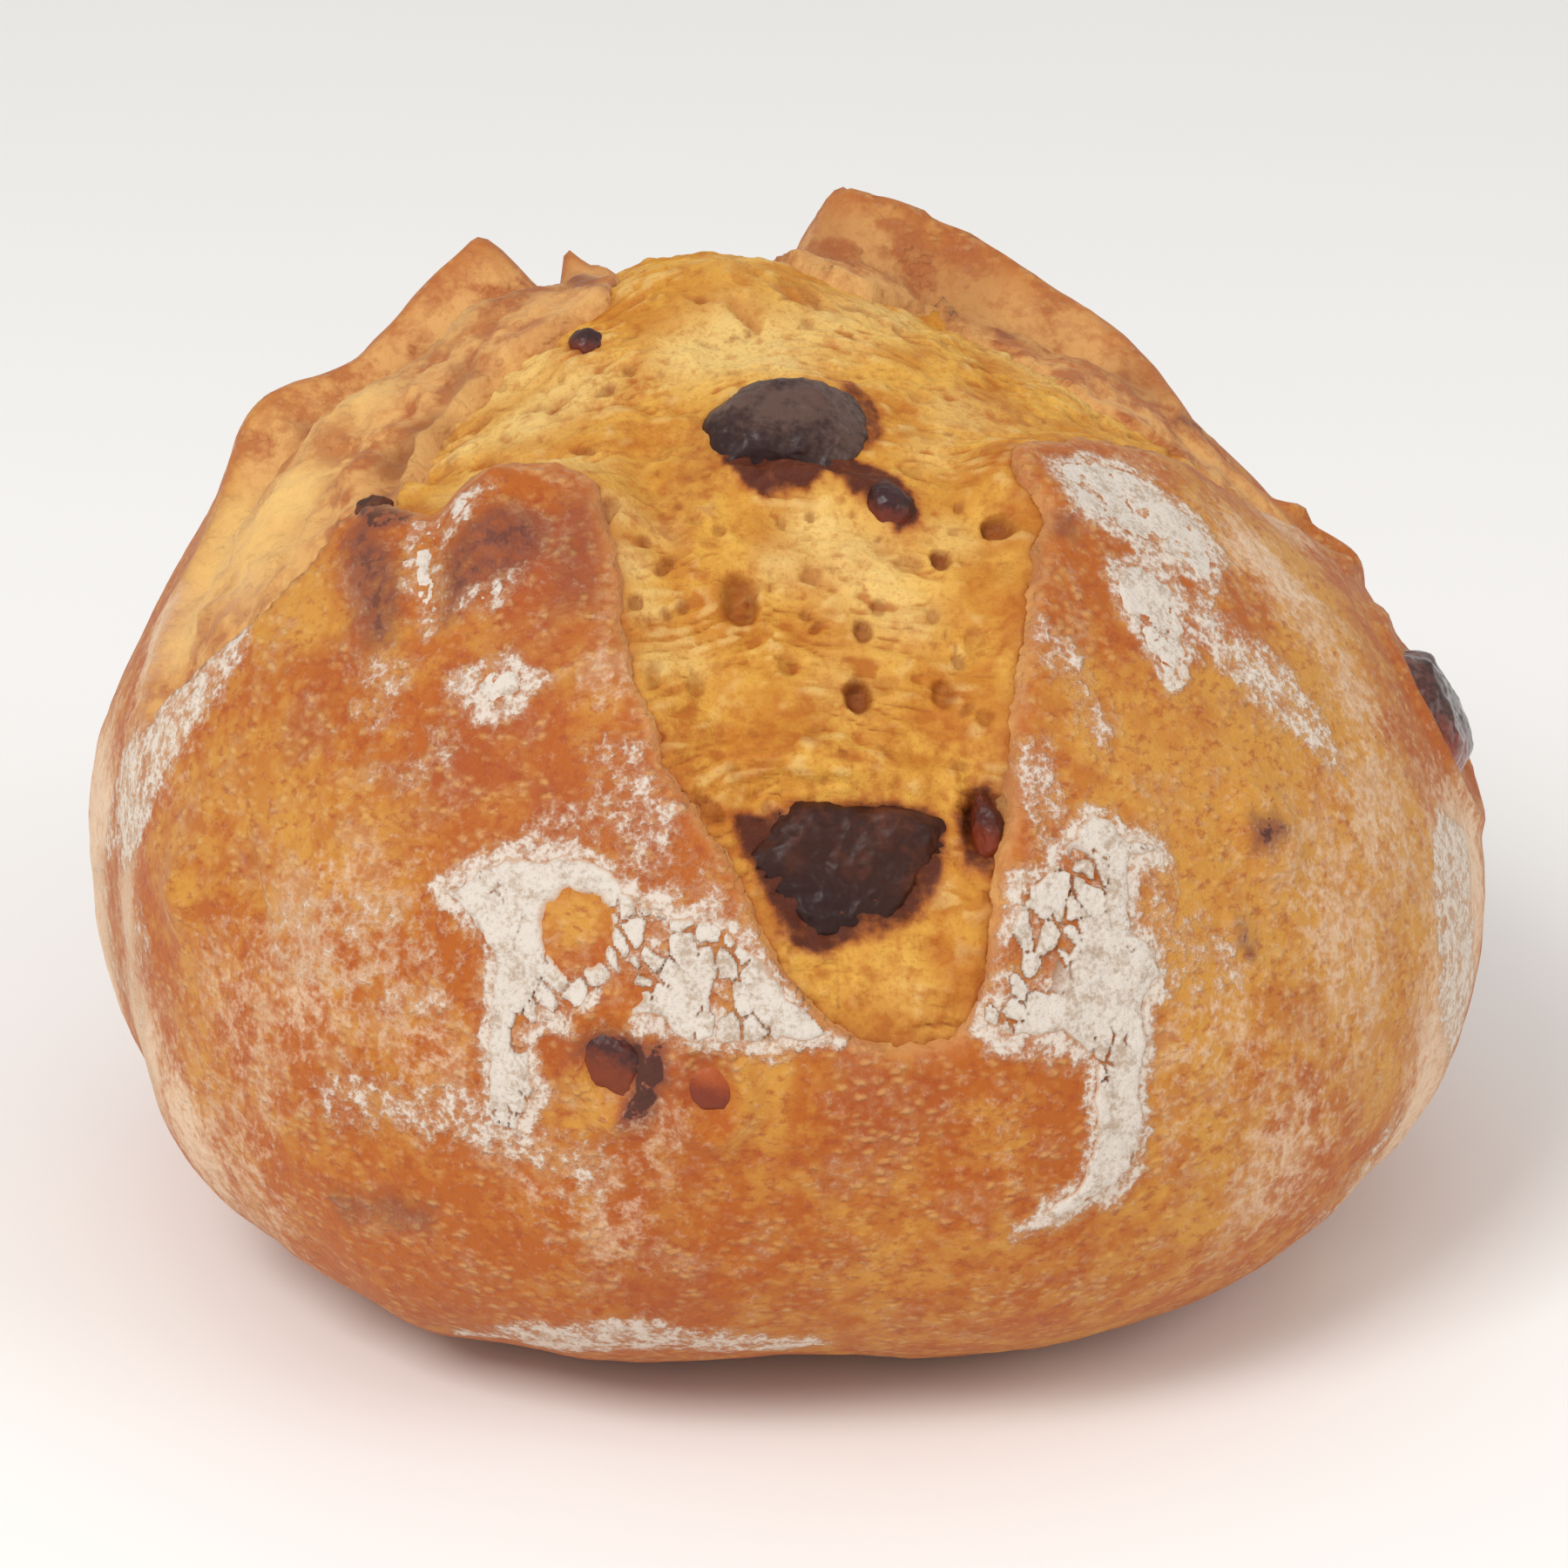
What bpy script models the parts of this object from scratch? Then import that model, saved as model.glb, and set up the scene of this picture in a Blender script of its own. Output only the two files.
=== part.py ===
"""Tomato bread: a round hearth loaf, scored with a cross before baking, with dried tomato in the dough.

The dough opened along the cross in the oven, so four flaps of crust stand up round a field of torn crumb.
Each piece of dried tomato that shows is a solid of its own, set in a pocket of the loaf.
The loaf stands on its flat sole at z = 0, and the shown side faces -Y. Lengths here are in millimetres.
"""

import math

import bmesh
import bpy
import numpy as np
from mathutils import Matrix, Vector, noise

MM = 0.001  # metres in one millimetre

# The dome: two half superellipsoids that meet at the loaf's widest ring.
LOAF_RADIUS = 75.0
WIDEST_HEIGHT = 36.0
CROWN_RISE = 62.3
CROWN_POWER = 1.92
HEEL_DROP = 40.5
HEEL_POWER = 2.8
CROWN_LEAN = -0.065  # sideways shift for each millimetre above the widest ring

# Places on the dome are (u, v): u to the right and v to the back, both measured along the dome from
# its top, as if the dome were a ball of this radius.
CHART_RADIUS = 68.0

# Free edge of each flap, as (u, v, lift of the rim above the dome, width of the torn face below it).
FRONT_RIGHT_EDGE = (
    (23.6, -93.0, 0.3, 2.2),
    (27.2, -79.0, 1.2, 2.2),
    (29.7, -55.6, 1.8, 2.2),
    (32.0, -37.0, 2.4, 2.2),
    (29.6, -28.4, 2.7, 2.2),
    (36.0, -21.0, 2.0, 2.2),
    (46.0, -13.2, 0.9, 2.2),
    (58.0, -3.5, -1.2, 2.2),
    (74.0, 6.0, 0.2, 2.2),
)
BACK_RIGHT_EDGE = (
    (61.0, 8.0, -1.0, 7.0),
    (52.0, 13.5, 0.6, 13.0),
    (44.0, 19.0, 3.0, 15.0),
    (31.0, 23.5, 6.2, 13.0),
    (21.0, 25.0, 9.0, 10.0),
    (14.5, 25.0, 10.2, 11.0),
    (10.0, 26.5, 9.4, 6.0),
    (6.0, 40.0, 4.0, 5.0),
    (3.0, 60.0, 2.0, 3.0),
    (-3.0, 82.0, 0.4, 3.0),
)
BACK_LEFT_EDGE = (
    (-12.0, 80.0, 0.4, 3.0),
    (-15.0, 60.0, 2.0, 3.0),
    (-15.5, 42.0, 2.4, 4.0),
    (-16.0, 27.0, 1.2, 6.0),
    (-20.2, 24.0, 4.6, 12.0),
    (-23.8, 23.0, 1.6, 15.0),
    (-27.4, 21.5, 9.2, 19.0),
    (-36.0, 19.0, 6.0, 22.0),
    (-46.0, 15.0, 2.6, 24.0),
    (-54.0, 10.5, 4.2, 24.0),
    (-68.0, 0.5, 0.8, 22.0),
    (-77.0, -12.0, 0.2, 12.0),
)
FRONT_LEFT_EDGE = (
    (-80.0, -27.0, 0.3, 2.2),
    (-71.0, -31.6, 0.6, 2.2),
    (-59.5, -34.2, 1.0, 2.2),
    (-50.0, -33.0, 1.6, 2.2),
    (-42.0, -30.0, 2.4, 2.2),
    (-34.6, -35.8, 2.2, 2.2),
    (-26.4, -34.0, 3.4, 2.2),
    (-16.8, -38.0, 2.6, 2.2),
    (-15.2, -52.5, 1.8, 2.2),
    (-11.0, -70.0, 1.4, 2.2),
    (-4.0, -81.0, 1.0, 2.2),
    (6.7, -95.0, 0.3, 2.2),
)
OUTLINE_STEPS = 6  # points on the smooth outline for each point given above
RIM_DECAY = 16.0  # how far behind its edge a lifted flap settles back on the dome
EDGE_WANDER = 0.9  # how far the ragged edge strays to each side
EDGE_WANDER_LENGTH = 6.0
CRUMB_RECESS = 2.6
CRUMB_CROWN_RISE = 5.8
CRUMB_CROWN_CENTRE = (-7.0, 13.0)
CRUMB_CROWN_RADIUS = 21.0
CRAG_HEIGHT = 0.7  # torn crumb is rougher than crust
CRAG_LENGTH = 7.0
EDGE_BLEND = 6.0  # square of the distance over which neighbouring stretches of edge blend

# Blisters, dents and swellings of the crust, as (u, v, height, radius).
SWELLINGS = (
    (-28.0, -40.5, 1.5, 5.5),
    (-42.7, -36.7, 1.1, 5.0),
    (-75.4, -54.6, 1.0, 5.0),
    (-114.0, -34.0, -3.2, 24.0),
    (-106.0, -80.0, -0.5, 13.0),
    (-78.0, -112.0, 1.4, 12.0),
    (-80.0, 8.0, -1.5, 12.0),
    (71.0, 16.0, 1.2, 4.0),
    (-57.0, 9.0, 1.6, 6.0),
    (4.0, -142.0, -2.4, 36.0),
    (114.0, -58.0, -1.7, 12.0),
    (60.5, 20.0, -3.4, 9.0),
    (68.0, 21.0, -2.6, 6.5),
    (74.5, 8.5, 1.5, 3.6),
    (81.0, 6.0, -2.2, 5.0),
    (59.9, -59.2, 0.8, 4.0),
    (-60.0, 52.0, 1.4, 14.0),
    (48.0, 66.0, 1.6, 15.0),
    (88.0, 30.0, -1.4, 16.0),
)
LUMP_HEIGHT = 0.7
LUMP_LENGTH = 24.0
LUMP_LAYER, WANDER_LAYER, CRAG_LAYER = 0.0, 1.0, 2.0  # where each kind of noise is read

# Dried tomato, as (u, v, half width, half height up the slope, half thickness, turn in degrees,
# how far its middle lies below the surface). A negative depth stands it proud.
TOMATOES = {
    "tomato_crown": (4.3, -24.8, 8.8, 7.4, 5.2, -4.0, 0.6),
    "tomato_crown_side": (16.0, -36.0, 2.7, 3.9, 3.0, 24.0, 1.4),
    "tomato_front": (8.4, -80.0, 11.6, 8.0, 5.0, 3.0, 1.8),
    "tomato_front_side": (26.0, -73.0, 1.7, 3.6, 2.6, 4.0, 0.9),
    "tomato_right": (88.5, -6.0, 10.0, 9.0, 5.6, 10.0, 1.9),
    "tomato_low_left": (-20.9, -96.0, 4.7, 3.9, 3.0, -16.0, 1.5),
    "tomato_low_middle": (-8.9, -99.6, 4.2, 3.6, 2.8, -8.0, 1.6),
    "tomato_back_left": (-18.5, -4.2, 1.9, 1.6, 1.8, 20.0, 0.3),
    "tomato_rim_left": (-42.0, -29.4, 3.0, 2.0, 2.2, 8.0, 0.6),
    "tomato_right_spot": (59.9, -59.2, 2.6, 2.4, 2.2, 30.0, 1.2),
    "tomato_back_arm": (-5.0, 52.0, 8.0, 6.6, 4.6, 12.0, 1.2),
    "tomato_back_low": (52.0, 78.0, 6.4, 4.6, 4.4, -20.0, 1.6),
}
SMALL_TOMATO = 4.5  # below this half width a piece needs fewer faces
TOMATO_POWER = 2.6  # 2 is an ellipsoid, more is blockier
SIDE_FACETS = 5
SIDE_FACET_SPREAD = 0.35  # radians to each side of an even spacing
SIDE_FACET_TILT = (0.25, 0.75)
SIDE_FACET_REACH = (0.74, 0.92)  # as a share of the piece's half sizes
TOP_FACET_TILT = (-0.2, 0.1)
TOP_FACET_REACH = 0.72
CREASE_DEPTH = 0.09
CREASE_SCALE = 2.3
POCKET_GAP = 0.35
SEAT_SPREAD = 0.09  # radians to each side over which the slope under a piece is taken

LOAF_LEVELS = 7  # subdivisions of the ball that the loaf is made from
LOAF_FACES = 7000  # faces kept where the shape needs them
LOAF_SMOOTH_ANGLE = 50.0  # degrees, sharper folds stay sharp
TOMATO_SMOOTH_ANGLE = 40.0

CRUST_COLOUR = (0.50, 0.19, 0.055)
TOMATO_COLOUR = (0.075, 0.030, 0.022)


def smooth_step(low, high, value):
    """0 below low, 1 above high, and an S-shaped rise between them."""
    share = np.clip((value - low) / (high - low), 0.0, 1.0)
    return share * share * (3.0 - 2.0 * share)


def opening_outline():
    """The closed edge of the opened cross, smooth through the flaps' points: u, v, lift and face width."""
    knots = np.array(FRONT_RIGHT_EDGE + BACK_RIGHT_EDGE + BACK_LEFT_EDGE + FRONT_LEFT_EDGE)
    before, after, later = (np.roll(knots, shift, axis=0) for shift in (1, -1, -2))
    rows = []
    for step in range(OUTLINE_STEPS):
        t = step / OUTLINE_STEPS
        rows.append(
            0.5 * (
                2.0 * knots
                + (after - before) * t
                + (2.0 * before - 5.0 * knots + 4.0 * after - later) * t ** 2
                + (3.0 * knots - before - 3.0 * after + later) * t ** 3
            )
        )
    return np.stack(rows, axis=1).reshape(-1, knots.shape[1])


def edge_distance(chart, outline):
    """Distance from each place to the opening's edge, negative inside the opening."""
    nearest = np.full(len(chart), np.inf)
    inside = np.zeros(len(chart), bool)
    for start, end in zip(outline[:, :2], np.roll(outline[:, :2], -1, axis=0)):
        run = end - start
        offset = chart - start
        share = np.clip(offset @ run / (run @ run), 0.0, 1.0)
        nearest = np.minimum(nearest, np.hypot(*(offset - share[:, None] * run).T))
        crosses = (start[1] > chart[:, 1]) != (end[1] > chart[:, 1])
        if run[1] != 0.0:
            inside ^= crosses & (offset[:, 0] < offset[:, 1] * run[0] / run[1])
    return np.where(inside, -nearest, nearest)


def edge_values(chart, outline):
    """Lift and face width at each place, mostly those of the nearest stretch of edge."""
    total = np.zeros(len(chart))
    values = np.zeros((len(chart), 2))
    for row in outline:
        square = ((chart - row[:2]) ** 2).sum(axis=1)
        weight = 1.0 / (square + EDGE_BLEND) ** 2
        total += weight
        values += weight[:, None] * row[2:]
    return (values / total[:, None]).T


def dome_radius(directions):
    """Distance from the loaf's middle to the plain dome, along each direction."""
    level = np.hypot(directions[:, 0], directions[:, 1])
    rise = directions[:, 2]
    above = rise > 0.0
    height = np.where(above, CROWN_RISE, HEEL_DROP)
    power = np.where(above, CROWN_POWER, HEEL_POWER)
    return ((level / LOAF_RADIUS) ** power + (np.abs(rise) / height) ** power) ** (-1.0 / power)


def chart_of(directions):
    """Each direction as a place (u, v) on the dome."""
    level = np.hypot(directions[:, 0], directions[:, 1])
    arc = CHART_RADIUS * np.arccos(np.clip(directions[:, 2], -1.0, 1.0))
    return directions[:, :2] * (arc / np.maximum(level, 1e-9))[:, None]


def direction_of(u, v):
    """The direction from the loaf's middle to a place (u, v) on the dome."""
    arc = math.hypot(u, v)
    angle = arc / CHART_RADIUS
    return np.array([u / arc * math.sin(angle), v / arc * math.sin(angle), math.cos(angle)])


def bump(chart, u, v, radius):
    """A round rise of height 1 at (u, v)."""
    return np.exp(-((chart[:, 0] - u) ** 2 + (chart[:, 1] - v) ** 2) / radius ** 2)


def soft_noise(directions, length, layer):
    """Smooth noise from -1 to 1 on the dome, with lumps about as long as length."""
    scale = LOAF_RADIUS / length
    shift = Vector((layer, layer, layer))
    return np.array([noise.noise(Vector(way) * scale + shift) for way in directions])


def relief(directions):
    """Height of the real surface above the plain dome: flaps, torn crumb, blisters and lumps."""
    chart = chart_of(directions)
    outline = opening_outline()
    wander = soft_noise(directions, EDGE_WANDER_LENGTH, WANDER_LAYER)
    distance = edge_distance(chart, outline) + EDGE_WANDER * wander
    lift, face = edge_values(chart, outline)
    behind = lift * np.exp(-np.maximum(distance, 0.0) / RIM_DECAY)
    depth = smooth_step(0.0, 1.0, -distance / face)
    crown = CRUMB_CROWN_RISE * bump(chart, *CRUMB_CROWN_CENTRE, CRUMB_CROWN_RADIUS)
    crags = CRAG_HEIGHT * soft_noise(directions, CRAG_LENGTH, CRAG_LAYER)
    floor = crown - CRUMB_RECESS + crags
    height = behind * (1.0 - depth) + floor * depth
    for u, v, rise, radius in SWELLINGS:
        height += rise * bump(chart, u, v, radius)
    return height + LUMP_HEIGHT * soft_noise(directions, LUMP_LENGTH, LUMP_LAYER)


def loaf_points(directions):
    """Points of the loaf's surface, in millimetres."""
    directions = np.asarray(directions, float)
    points = directions * (dome_radius(directions) + relief(directions))[:, None]
    points[:, 0] += CROWN_LEAN * np.maximum(points[:, 2], 0.0)
    points[:, 2] += WIDEST_HEIGHT
    return points


def surface_frame(u, v):
    """A frame on the loaf's skin: X level, Y up the slope, Z outwards."""
    middle = direction_of(u, v)
    out = Vector(middle)
    level = Vector((-out.y, out.x, 0.0)).normalized()
    uphill = out.cross(level).normalized()
    around = [middle] + [
        np.array(out + side * SEAT_SPREAD) for side in (level, -level, uphill, -uphill)
    ]
    around = [direction / np.linalg.norm(direction) for direction in around]
    here, right, left, up, down = (Vector(point) for point in loaf_points(around))
    normal = (right - left).cross(up - down).normalized()
    if normal.dot(out) < 0.0:
        normal.negate()
    across = Vector((0.0, 0.0, 1.0)).cross(normal).normalized()
    slope = normal.cross(across)
    frame = Matrix((across, slope, normal)).transposed().to_4x4()
    frame.translation = here
    return frame


def material(name, colour, roughness):
    """A plain finish of one colour."""
    made = bpy.data.materials.new(name)
    made.use_nodes = True
    shader = made.node_tree.nodes["Principled BSDF"]
    shader.inputs["Base Color"].default_value = (*colour, 1.0)
    shader.inputs["Roughness"].default_value = roughness
    return made


def add_object(name, mesh, finish, shade_angle):
    """A named object with one finish, shaded smooth up to the given angle."""
    mesh.materials.append(finish)
    mesh.shade_smooth()
    mesh.set_sharp_from_angle(angle=math.radians(shade_angle))
    made = bpy.data.objects.new(name, mesh)
    bpy.context.scene.collection.objects.link(made)
    return made


def evaluated_mesh(item):
    """The object's mesh with its modifiers applied."""
    graph = bpy.context.evaluated_depsgraph_get()
    return bpy.data.meshes.new_from_object(item.evaluated_get(graph), depsgraph=graph)


def cut_sole(mesh):
    """Cuts the rounded underside off level at z = 0, which leaves the flat sole."""
    shape = bmesh.new()
    shape.from_mesh(mesh)
    everything = shape.verts[:] + shape.edges[:] + shape.faces[:]
    cut = bmesh.ops.bisect_plane(
        shape, geom=everything, plane_co=(0, 0, 0), plane_no=(0, 0, -1), clear_outer=True
    )
    ring = [part for part in cut["geom_cut"] if isinstance(part, bmesh.types.BMEdge)]
    bmesh.ops.edgeloop_fill(shape, edges=ring)
    bmesh.ops.triangulate(shape, faces=shape.faces[:])
    bmesh.ops.recalc_face_normals(shape, faces=shape.faces[:])
    shape.to_mesh(mesh)
    shape.free()


def make_loaf_body(finish):
    """The loaf before its pockets: a fine ball drawn out to the dough's shape, then thinned."""
    shape = bmesh.new()
    bmesh.ops.create_icosphere(shape, subdivisions=LOAF_LEVELS, radius=1.0)
    directions = np.array([vert.co.normalized() for vert in shape.verts])
    for vert, point in zip(shape.verts, loaf_points(directions)):
        vert.co = Vector(point) * MM
    mesh = bpy.data.meshes.new("loaf")
    shape.to_mesh(mesh)
    shape.free()
    draft = bpy.data.objects.new("draft", mesh)
    bpy.context.scene.collection.objects.link(draft)
    thin = draft.modifiers.new("thin", "DECIMATE")
    thin.ratio = LOAF_FACES / len(mesh.polygons)
    thinned = evaluated_mesh(draft)
    bpy.data.objects.remove(draft)
    cut_sole(thinned)
    return add_object("loaf", thinned, finish, LOAF_SMOOTH_ANGLE)


def tomato_mesh(name, sizes, seed, margin):
    """A leathery lump: a rounded block with a few flat facets and soft creases, grown by margin."""
    half_width, half_height, half_thickness = sizes
    draw = np.random.default_rng(seed)
    facets = []
    for turn in np.linspace(0.0, 2.0 * math.pi, SIDE_FACETS, endpoint=False):
        angle = turn + draw.uniform(-SIDE_FACET_SPREAD, SIDE_FACET_SPREAD)
        tilt = draw.uniform(*SIDE_FACET_TILT)
        facets.append((math.cos(angle), math.sin(angle), tilt, draw.uniform(*SIDE_FACET_REACH)))
    facets.append((draw.uniform(*TOP_FACET_TILT), draw.uniform(*TOP_FACET_TILT), 1.0, TOP_FACET_REACH))
    shape = bmesh.new()
    levels = 3 if half_width > SMALL_TOMATO else 2
    bmesh.ops.create_icosphere(shape, subdivisions=levels, radius=1.0)
    for vert in shape.verts:
        way = vert.co.normalized()
        reach = sum(abs(part) ** TOMATO_POWER for part in way) ** (-1.0 / TOMATO_POWER)
        for x, y, z, distance in facets:
            facing = way.dot(Vector((x, y, z)).normalized())
            if facing > 0.0:
                reach = min(reach, distance / facing)
        reach *= 1.0 + CREASE_DEPTH * noise.noise(way * CREASE_SCALE + Vector((seed, 0.0, 0.0)))
        point = Vector((way.x * half_width, way.y * half_height, way.z * half_thickness)) * reach
        vert.co = (point + point.normalized() * margin) * MM
    mesh = bpy.data.meshes.new(name)
    shape.to_mesh(mesh)
    shape.free()
    return mesh


def make_tomatoes(loaf, finish):
    """Each piece of tomato, and the pocket it sits in, a little larger than the piece."""
    for seed, (name, row) in enumerate(TOMATOES.items(), start=1):
        u, v, *sizes, turn, depth = row
        place = surface_frame(u, v)
        place.translation *= MM
        turned = Matrix.Rotation(math.radians(turn), 4, "Z")
        place = place @ turned @ Matrix.Translation((0.0, 0.0, -depth * MM))
        mesh = tomato_mesh(name, sizes, seed, 0.0)
        piece = add_object(name, mesh, finish, TOMATO_SMOOTH_ANGLE)
        piece.matrix_world = place
        pocket_mesh = tomato_mesh(name + "_pocket", sizes, seed, POCKET_GAP)
        pocket = bpy.data.objects.new(name + "_pocket", pocket_mesh)
        bpy.context.scene.collection.objects.link(pocket)
        pocket.matrix_world = place
        pocket.hide_render = True
        pocket.display_type = "WIRE"
        cut = loaf.modifiers.new("pocket of " + name, "BOOLEAN")
        cut.operation = "DIFFERENCE"
        cut.object = pocket


def main():
    for item in list(bpy.data.objects):
        bpy.data.objects.remove(item)
    crust = material("baked crust", CRUST_COLOUR, 0.75)
    tomato = material("dried tomato", TOMATO_COLOUR, 0.45)
    loaf = make_loaf_body(crust)
    make_tomatoes(loaf, tomato)


main()
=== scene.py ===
"""Looks of the tomato bread: a round hearth loaf whose cross-shaped score tore open in the oven.

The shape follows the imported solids. Lengths are in millimetres until a mesh is written.
"""

import math

import bmesh
import bpy
import numpy as np
from mathutils import Matrix, Vector, noise


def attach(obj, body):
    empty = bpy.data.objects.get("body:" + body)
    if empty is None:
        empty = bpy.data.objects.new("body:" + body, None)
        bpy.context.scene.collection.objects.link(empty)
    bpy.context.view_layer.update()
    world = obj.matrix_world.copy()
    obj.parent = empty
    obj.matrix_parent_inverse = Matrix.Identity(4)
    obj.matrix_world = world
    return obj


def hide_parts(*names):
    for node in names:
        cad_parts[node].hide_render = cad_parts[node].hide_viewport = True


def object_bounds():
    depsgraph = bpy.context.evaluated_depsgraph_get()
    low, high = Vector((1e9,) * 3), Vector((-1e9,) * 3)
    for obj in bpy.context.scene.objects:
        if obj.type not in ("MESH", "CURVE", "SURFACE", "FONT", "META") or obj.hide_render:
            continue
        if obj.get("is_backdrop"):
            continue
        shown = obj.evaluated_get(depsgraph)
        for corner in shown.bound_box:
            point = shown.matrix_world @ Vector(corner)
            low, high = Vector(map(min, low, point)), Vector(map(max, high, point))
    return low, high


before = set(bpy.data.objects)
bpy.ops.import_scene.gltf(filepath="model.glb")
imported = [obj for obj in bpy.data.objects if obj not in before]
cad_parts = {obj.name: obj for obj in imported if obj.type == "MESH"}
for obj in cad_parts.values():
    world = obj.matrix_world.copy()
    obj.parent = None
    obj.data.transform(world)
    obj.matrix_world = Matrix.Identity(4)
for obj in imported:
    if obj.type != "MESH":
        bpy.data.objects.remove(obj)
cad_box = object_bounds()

# The crust.
# Baked dough skin, orange to chestnut brown, dusted with flour before it was scored with a cross.
# It stands round the opening as four flaps. The two at the back end in broad browned tears.

MM = 0.001
LOAF_RADIUS = 75.0
WIDEST_HEIGHT = 36.0
CROWN_RISE = 62.3
CROWN_POWER = 1.92
HEEL_DROP = 40.5
HEEL_POWER = 2.8
CROWN_LEAN = -0.065
CHART_RADIUS = 68.0  # places (u, v) are measured along the dome from its top, right and back

FRONT_RIGHT_EDGE = (
    (23.6, -93, 0.3, 2.2), (27.2, -79, 1.2, 2.2), (29.7, -55.6, 1.8, 2.2), (32, -37, 2.4, 2.2),
    (29.6, -28.4, 2.7, 2.2), (36, -21, 2, 2.2), (46, -13.2, 0.9, 2.2), (58, -3.5, -1.2, 2.2),
    (74, 6, 0.2, 2.2),
)
BACK_RIGHT_EDGE = (
    (61, 8, -1, 7), (52, 13.5, 0.6, 13), (44, 19, 3, 15), (31, 23.5, 6.2, 13), (21, 25, 9, 10),
    (14.5, 25, 10.2, 11), (10, 26.5, 9.4, 6), (6, 40, 4, 5), (3, 60, 2, 3), (-3, 82, 0.4, 3),
)
BACK_LEFT_EDGE = (
    (-12, 80, 0.4, 3), (-15, 60, 2, 3), (-15.5, 42, 2.4, 4), (-16, 27, 1.2, 6), (-20.2, 24, 4.6, 12),
    (-23.8, 23, 1.6, 15), (-27.4, 21.5, 9.2, 19), (-36, 19, 6, 22), (-46, 15, 2.6, 24),
    (-54, 10.5, 4.2, 24), (-68, 0.5, 0.8, 22), (-77, -12, 0.2, 12),
)
FRONT_LEFT_EDGE = (
    (-80, -27, 0.3, 2.2), (-71, -31.6, 0.6, 2.2), (-59.5, -34.2, 1, 2.2), (-50, -33, 1.6, 2.2),
    (-42, -30, 2.4, 2.2), (-34.6, -35.8, 2.2, 2.2), (-26.4, -34, 3.4, 2.2), (-16.8, -38, 2.6, 2.2),
    (-15.2, -52.5, 1.8, 2.2), (-11, -70, 1.4, 2.2), (-4, -81, 1, 2.2), (6.7, -95, 0.3, 2.2),
)
OUTLINE_STEPS = 6
RIM_DECAY = 16.0
EDGE_WANDER = 0.9
EDGE_WANDER_LENGTH = 6.0
CRUMB_RECESS = 2.6
CRUMB_CROWN_RISE = 5.8
CRUMB_CROWN = (-7.0, 13.0, 21.0)
CRAG_HEIGHT = 0.7
CRAG_LENGTH = 7.0
EDGE_BLEND = 6.0
SWELLINGS = (
    (-28, -40.5, 1.5, 5.5), (-42.7, -36.7, 1.1, 5), (-75.4, -54.6, 1, 5), (-114, -34, -3.2, 24),
    (-106, -80, -0.5, 13), (-78, -112, 1.4, 12), (-80, 8, -1.5, 12), (71, 16, 1.2, 4), (-57, 9, 1.6, 6),
    (4, -142, -2.4, 36), (114, -58, -1.7, 12), (60.5, 20, -3.4, 9), (68, 21, -2.6, 6.5),
    (74.5, 8.5, 1.5, 3.6), (81, 6, -2.2, 5), (59.9, -59.2, 0.8, 4), (-60, 52, 1.4, 14), (48, 66, 1.6, 15),
    (88, 30, -1.4, 16),
)
LUMP_HEIGHT = 0.7
LUMP_LENGTH = 24.0
LUMP_LAYER, WANDER_LAYER, CRAG_LAYER = 0.0, 1.0, 2.0

# Outlines of the two broad torn faces at the back. Their inner lines are the ledges over the crumb.
TORN_FACES = (
    ((-41, -31.5), (-40.2, -24), (-38.6, -13), (-33, -7), (-26.3, -2.2), (-20, 0.6),
        (-15.6, 3.2), (-14.6, 12), (-16, 28), (-17, 60), (-60, 60), (-110, 20),
        (-110, -60), (-56, -56)),
    ((2, 34), (2.6, 24), (5.5, 16), (10, 11.5), (14, 11.5), (18, 17), (22.5, 19.5), (26, 15.5),
        (31, 11.5), (38.6, 3.2), (47, 0), (56, -1), (66, 1), (95, 5), (90, 50),
        (40, 70), (4, 70), (1, 45)),
)
LEDGE_STEP = (0.5, 1.7)  # least and greatest height of a ledge above the crumb
SHARP_LEDGES = ((-38.0, -16.0, 12.0, 1.0), (-24.0, -1.0, 12.0, 1.0), (12.0, 13.0, 9.0, 1.0))
SKIN = 0.9  # how far the crust's edge stands above the crumb beside it
TUCK = 3.4  # how far that edge then goes on down, out of sight
UNDER_CRUMB = 3.6  # how deep the crust runs on under the crumb
EDGE_GROOVE = (0.5, 0.8)  # depth and half width of the groove behind the edge of a front flap
MIDDLE_OF_TEAR = (5.0, 8.0)  # distances from the flaps past which the lifted edges have no effect
EDGE_RAGGED = ((0.5, 3.1), (0.26, 1.3))  # height and length of the raggedness of a torn edge
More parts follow.
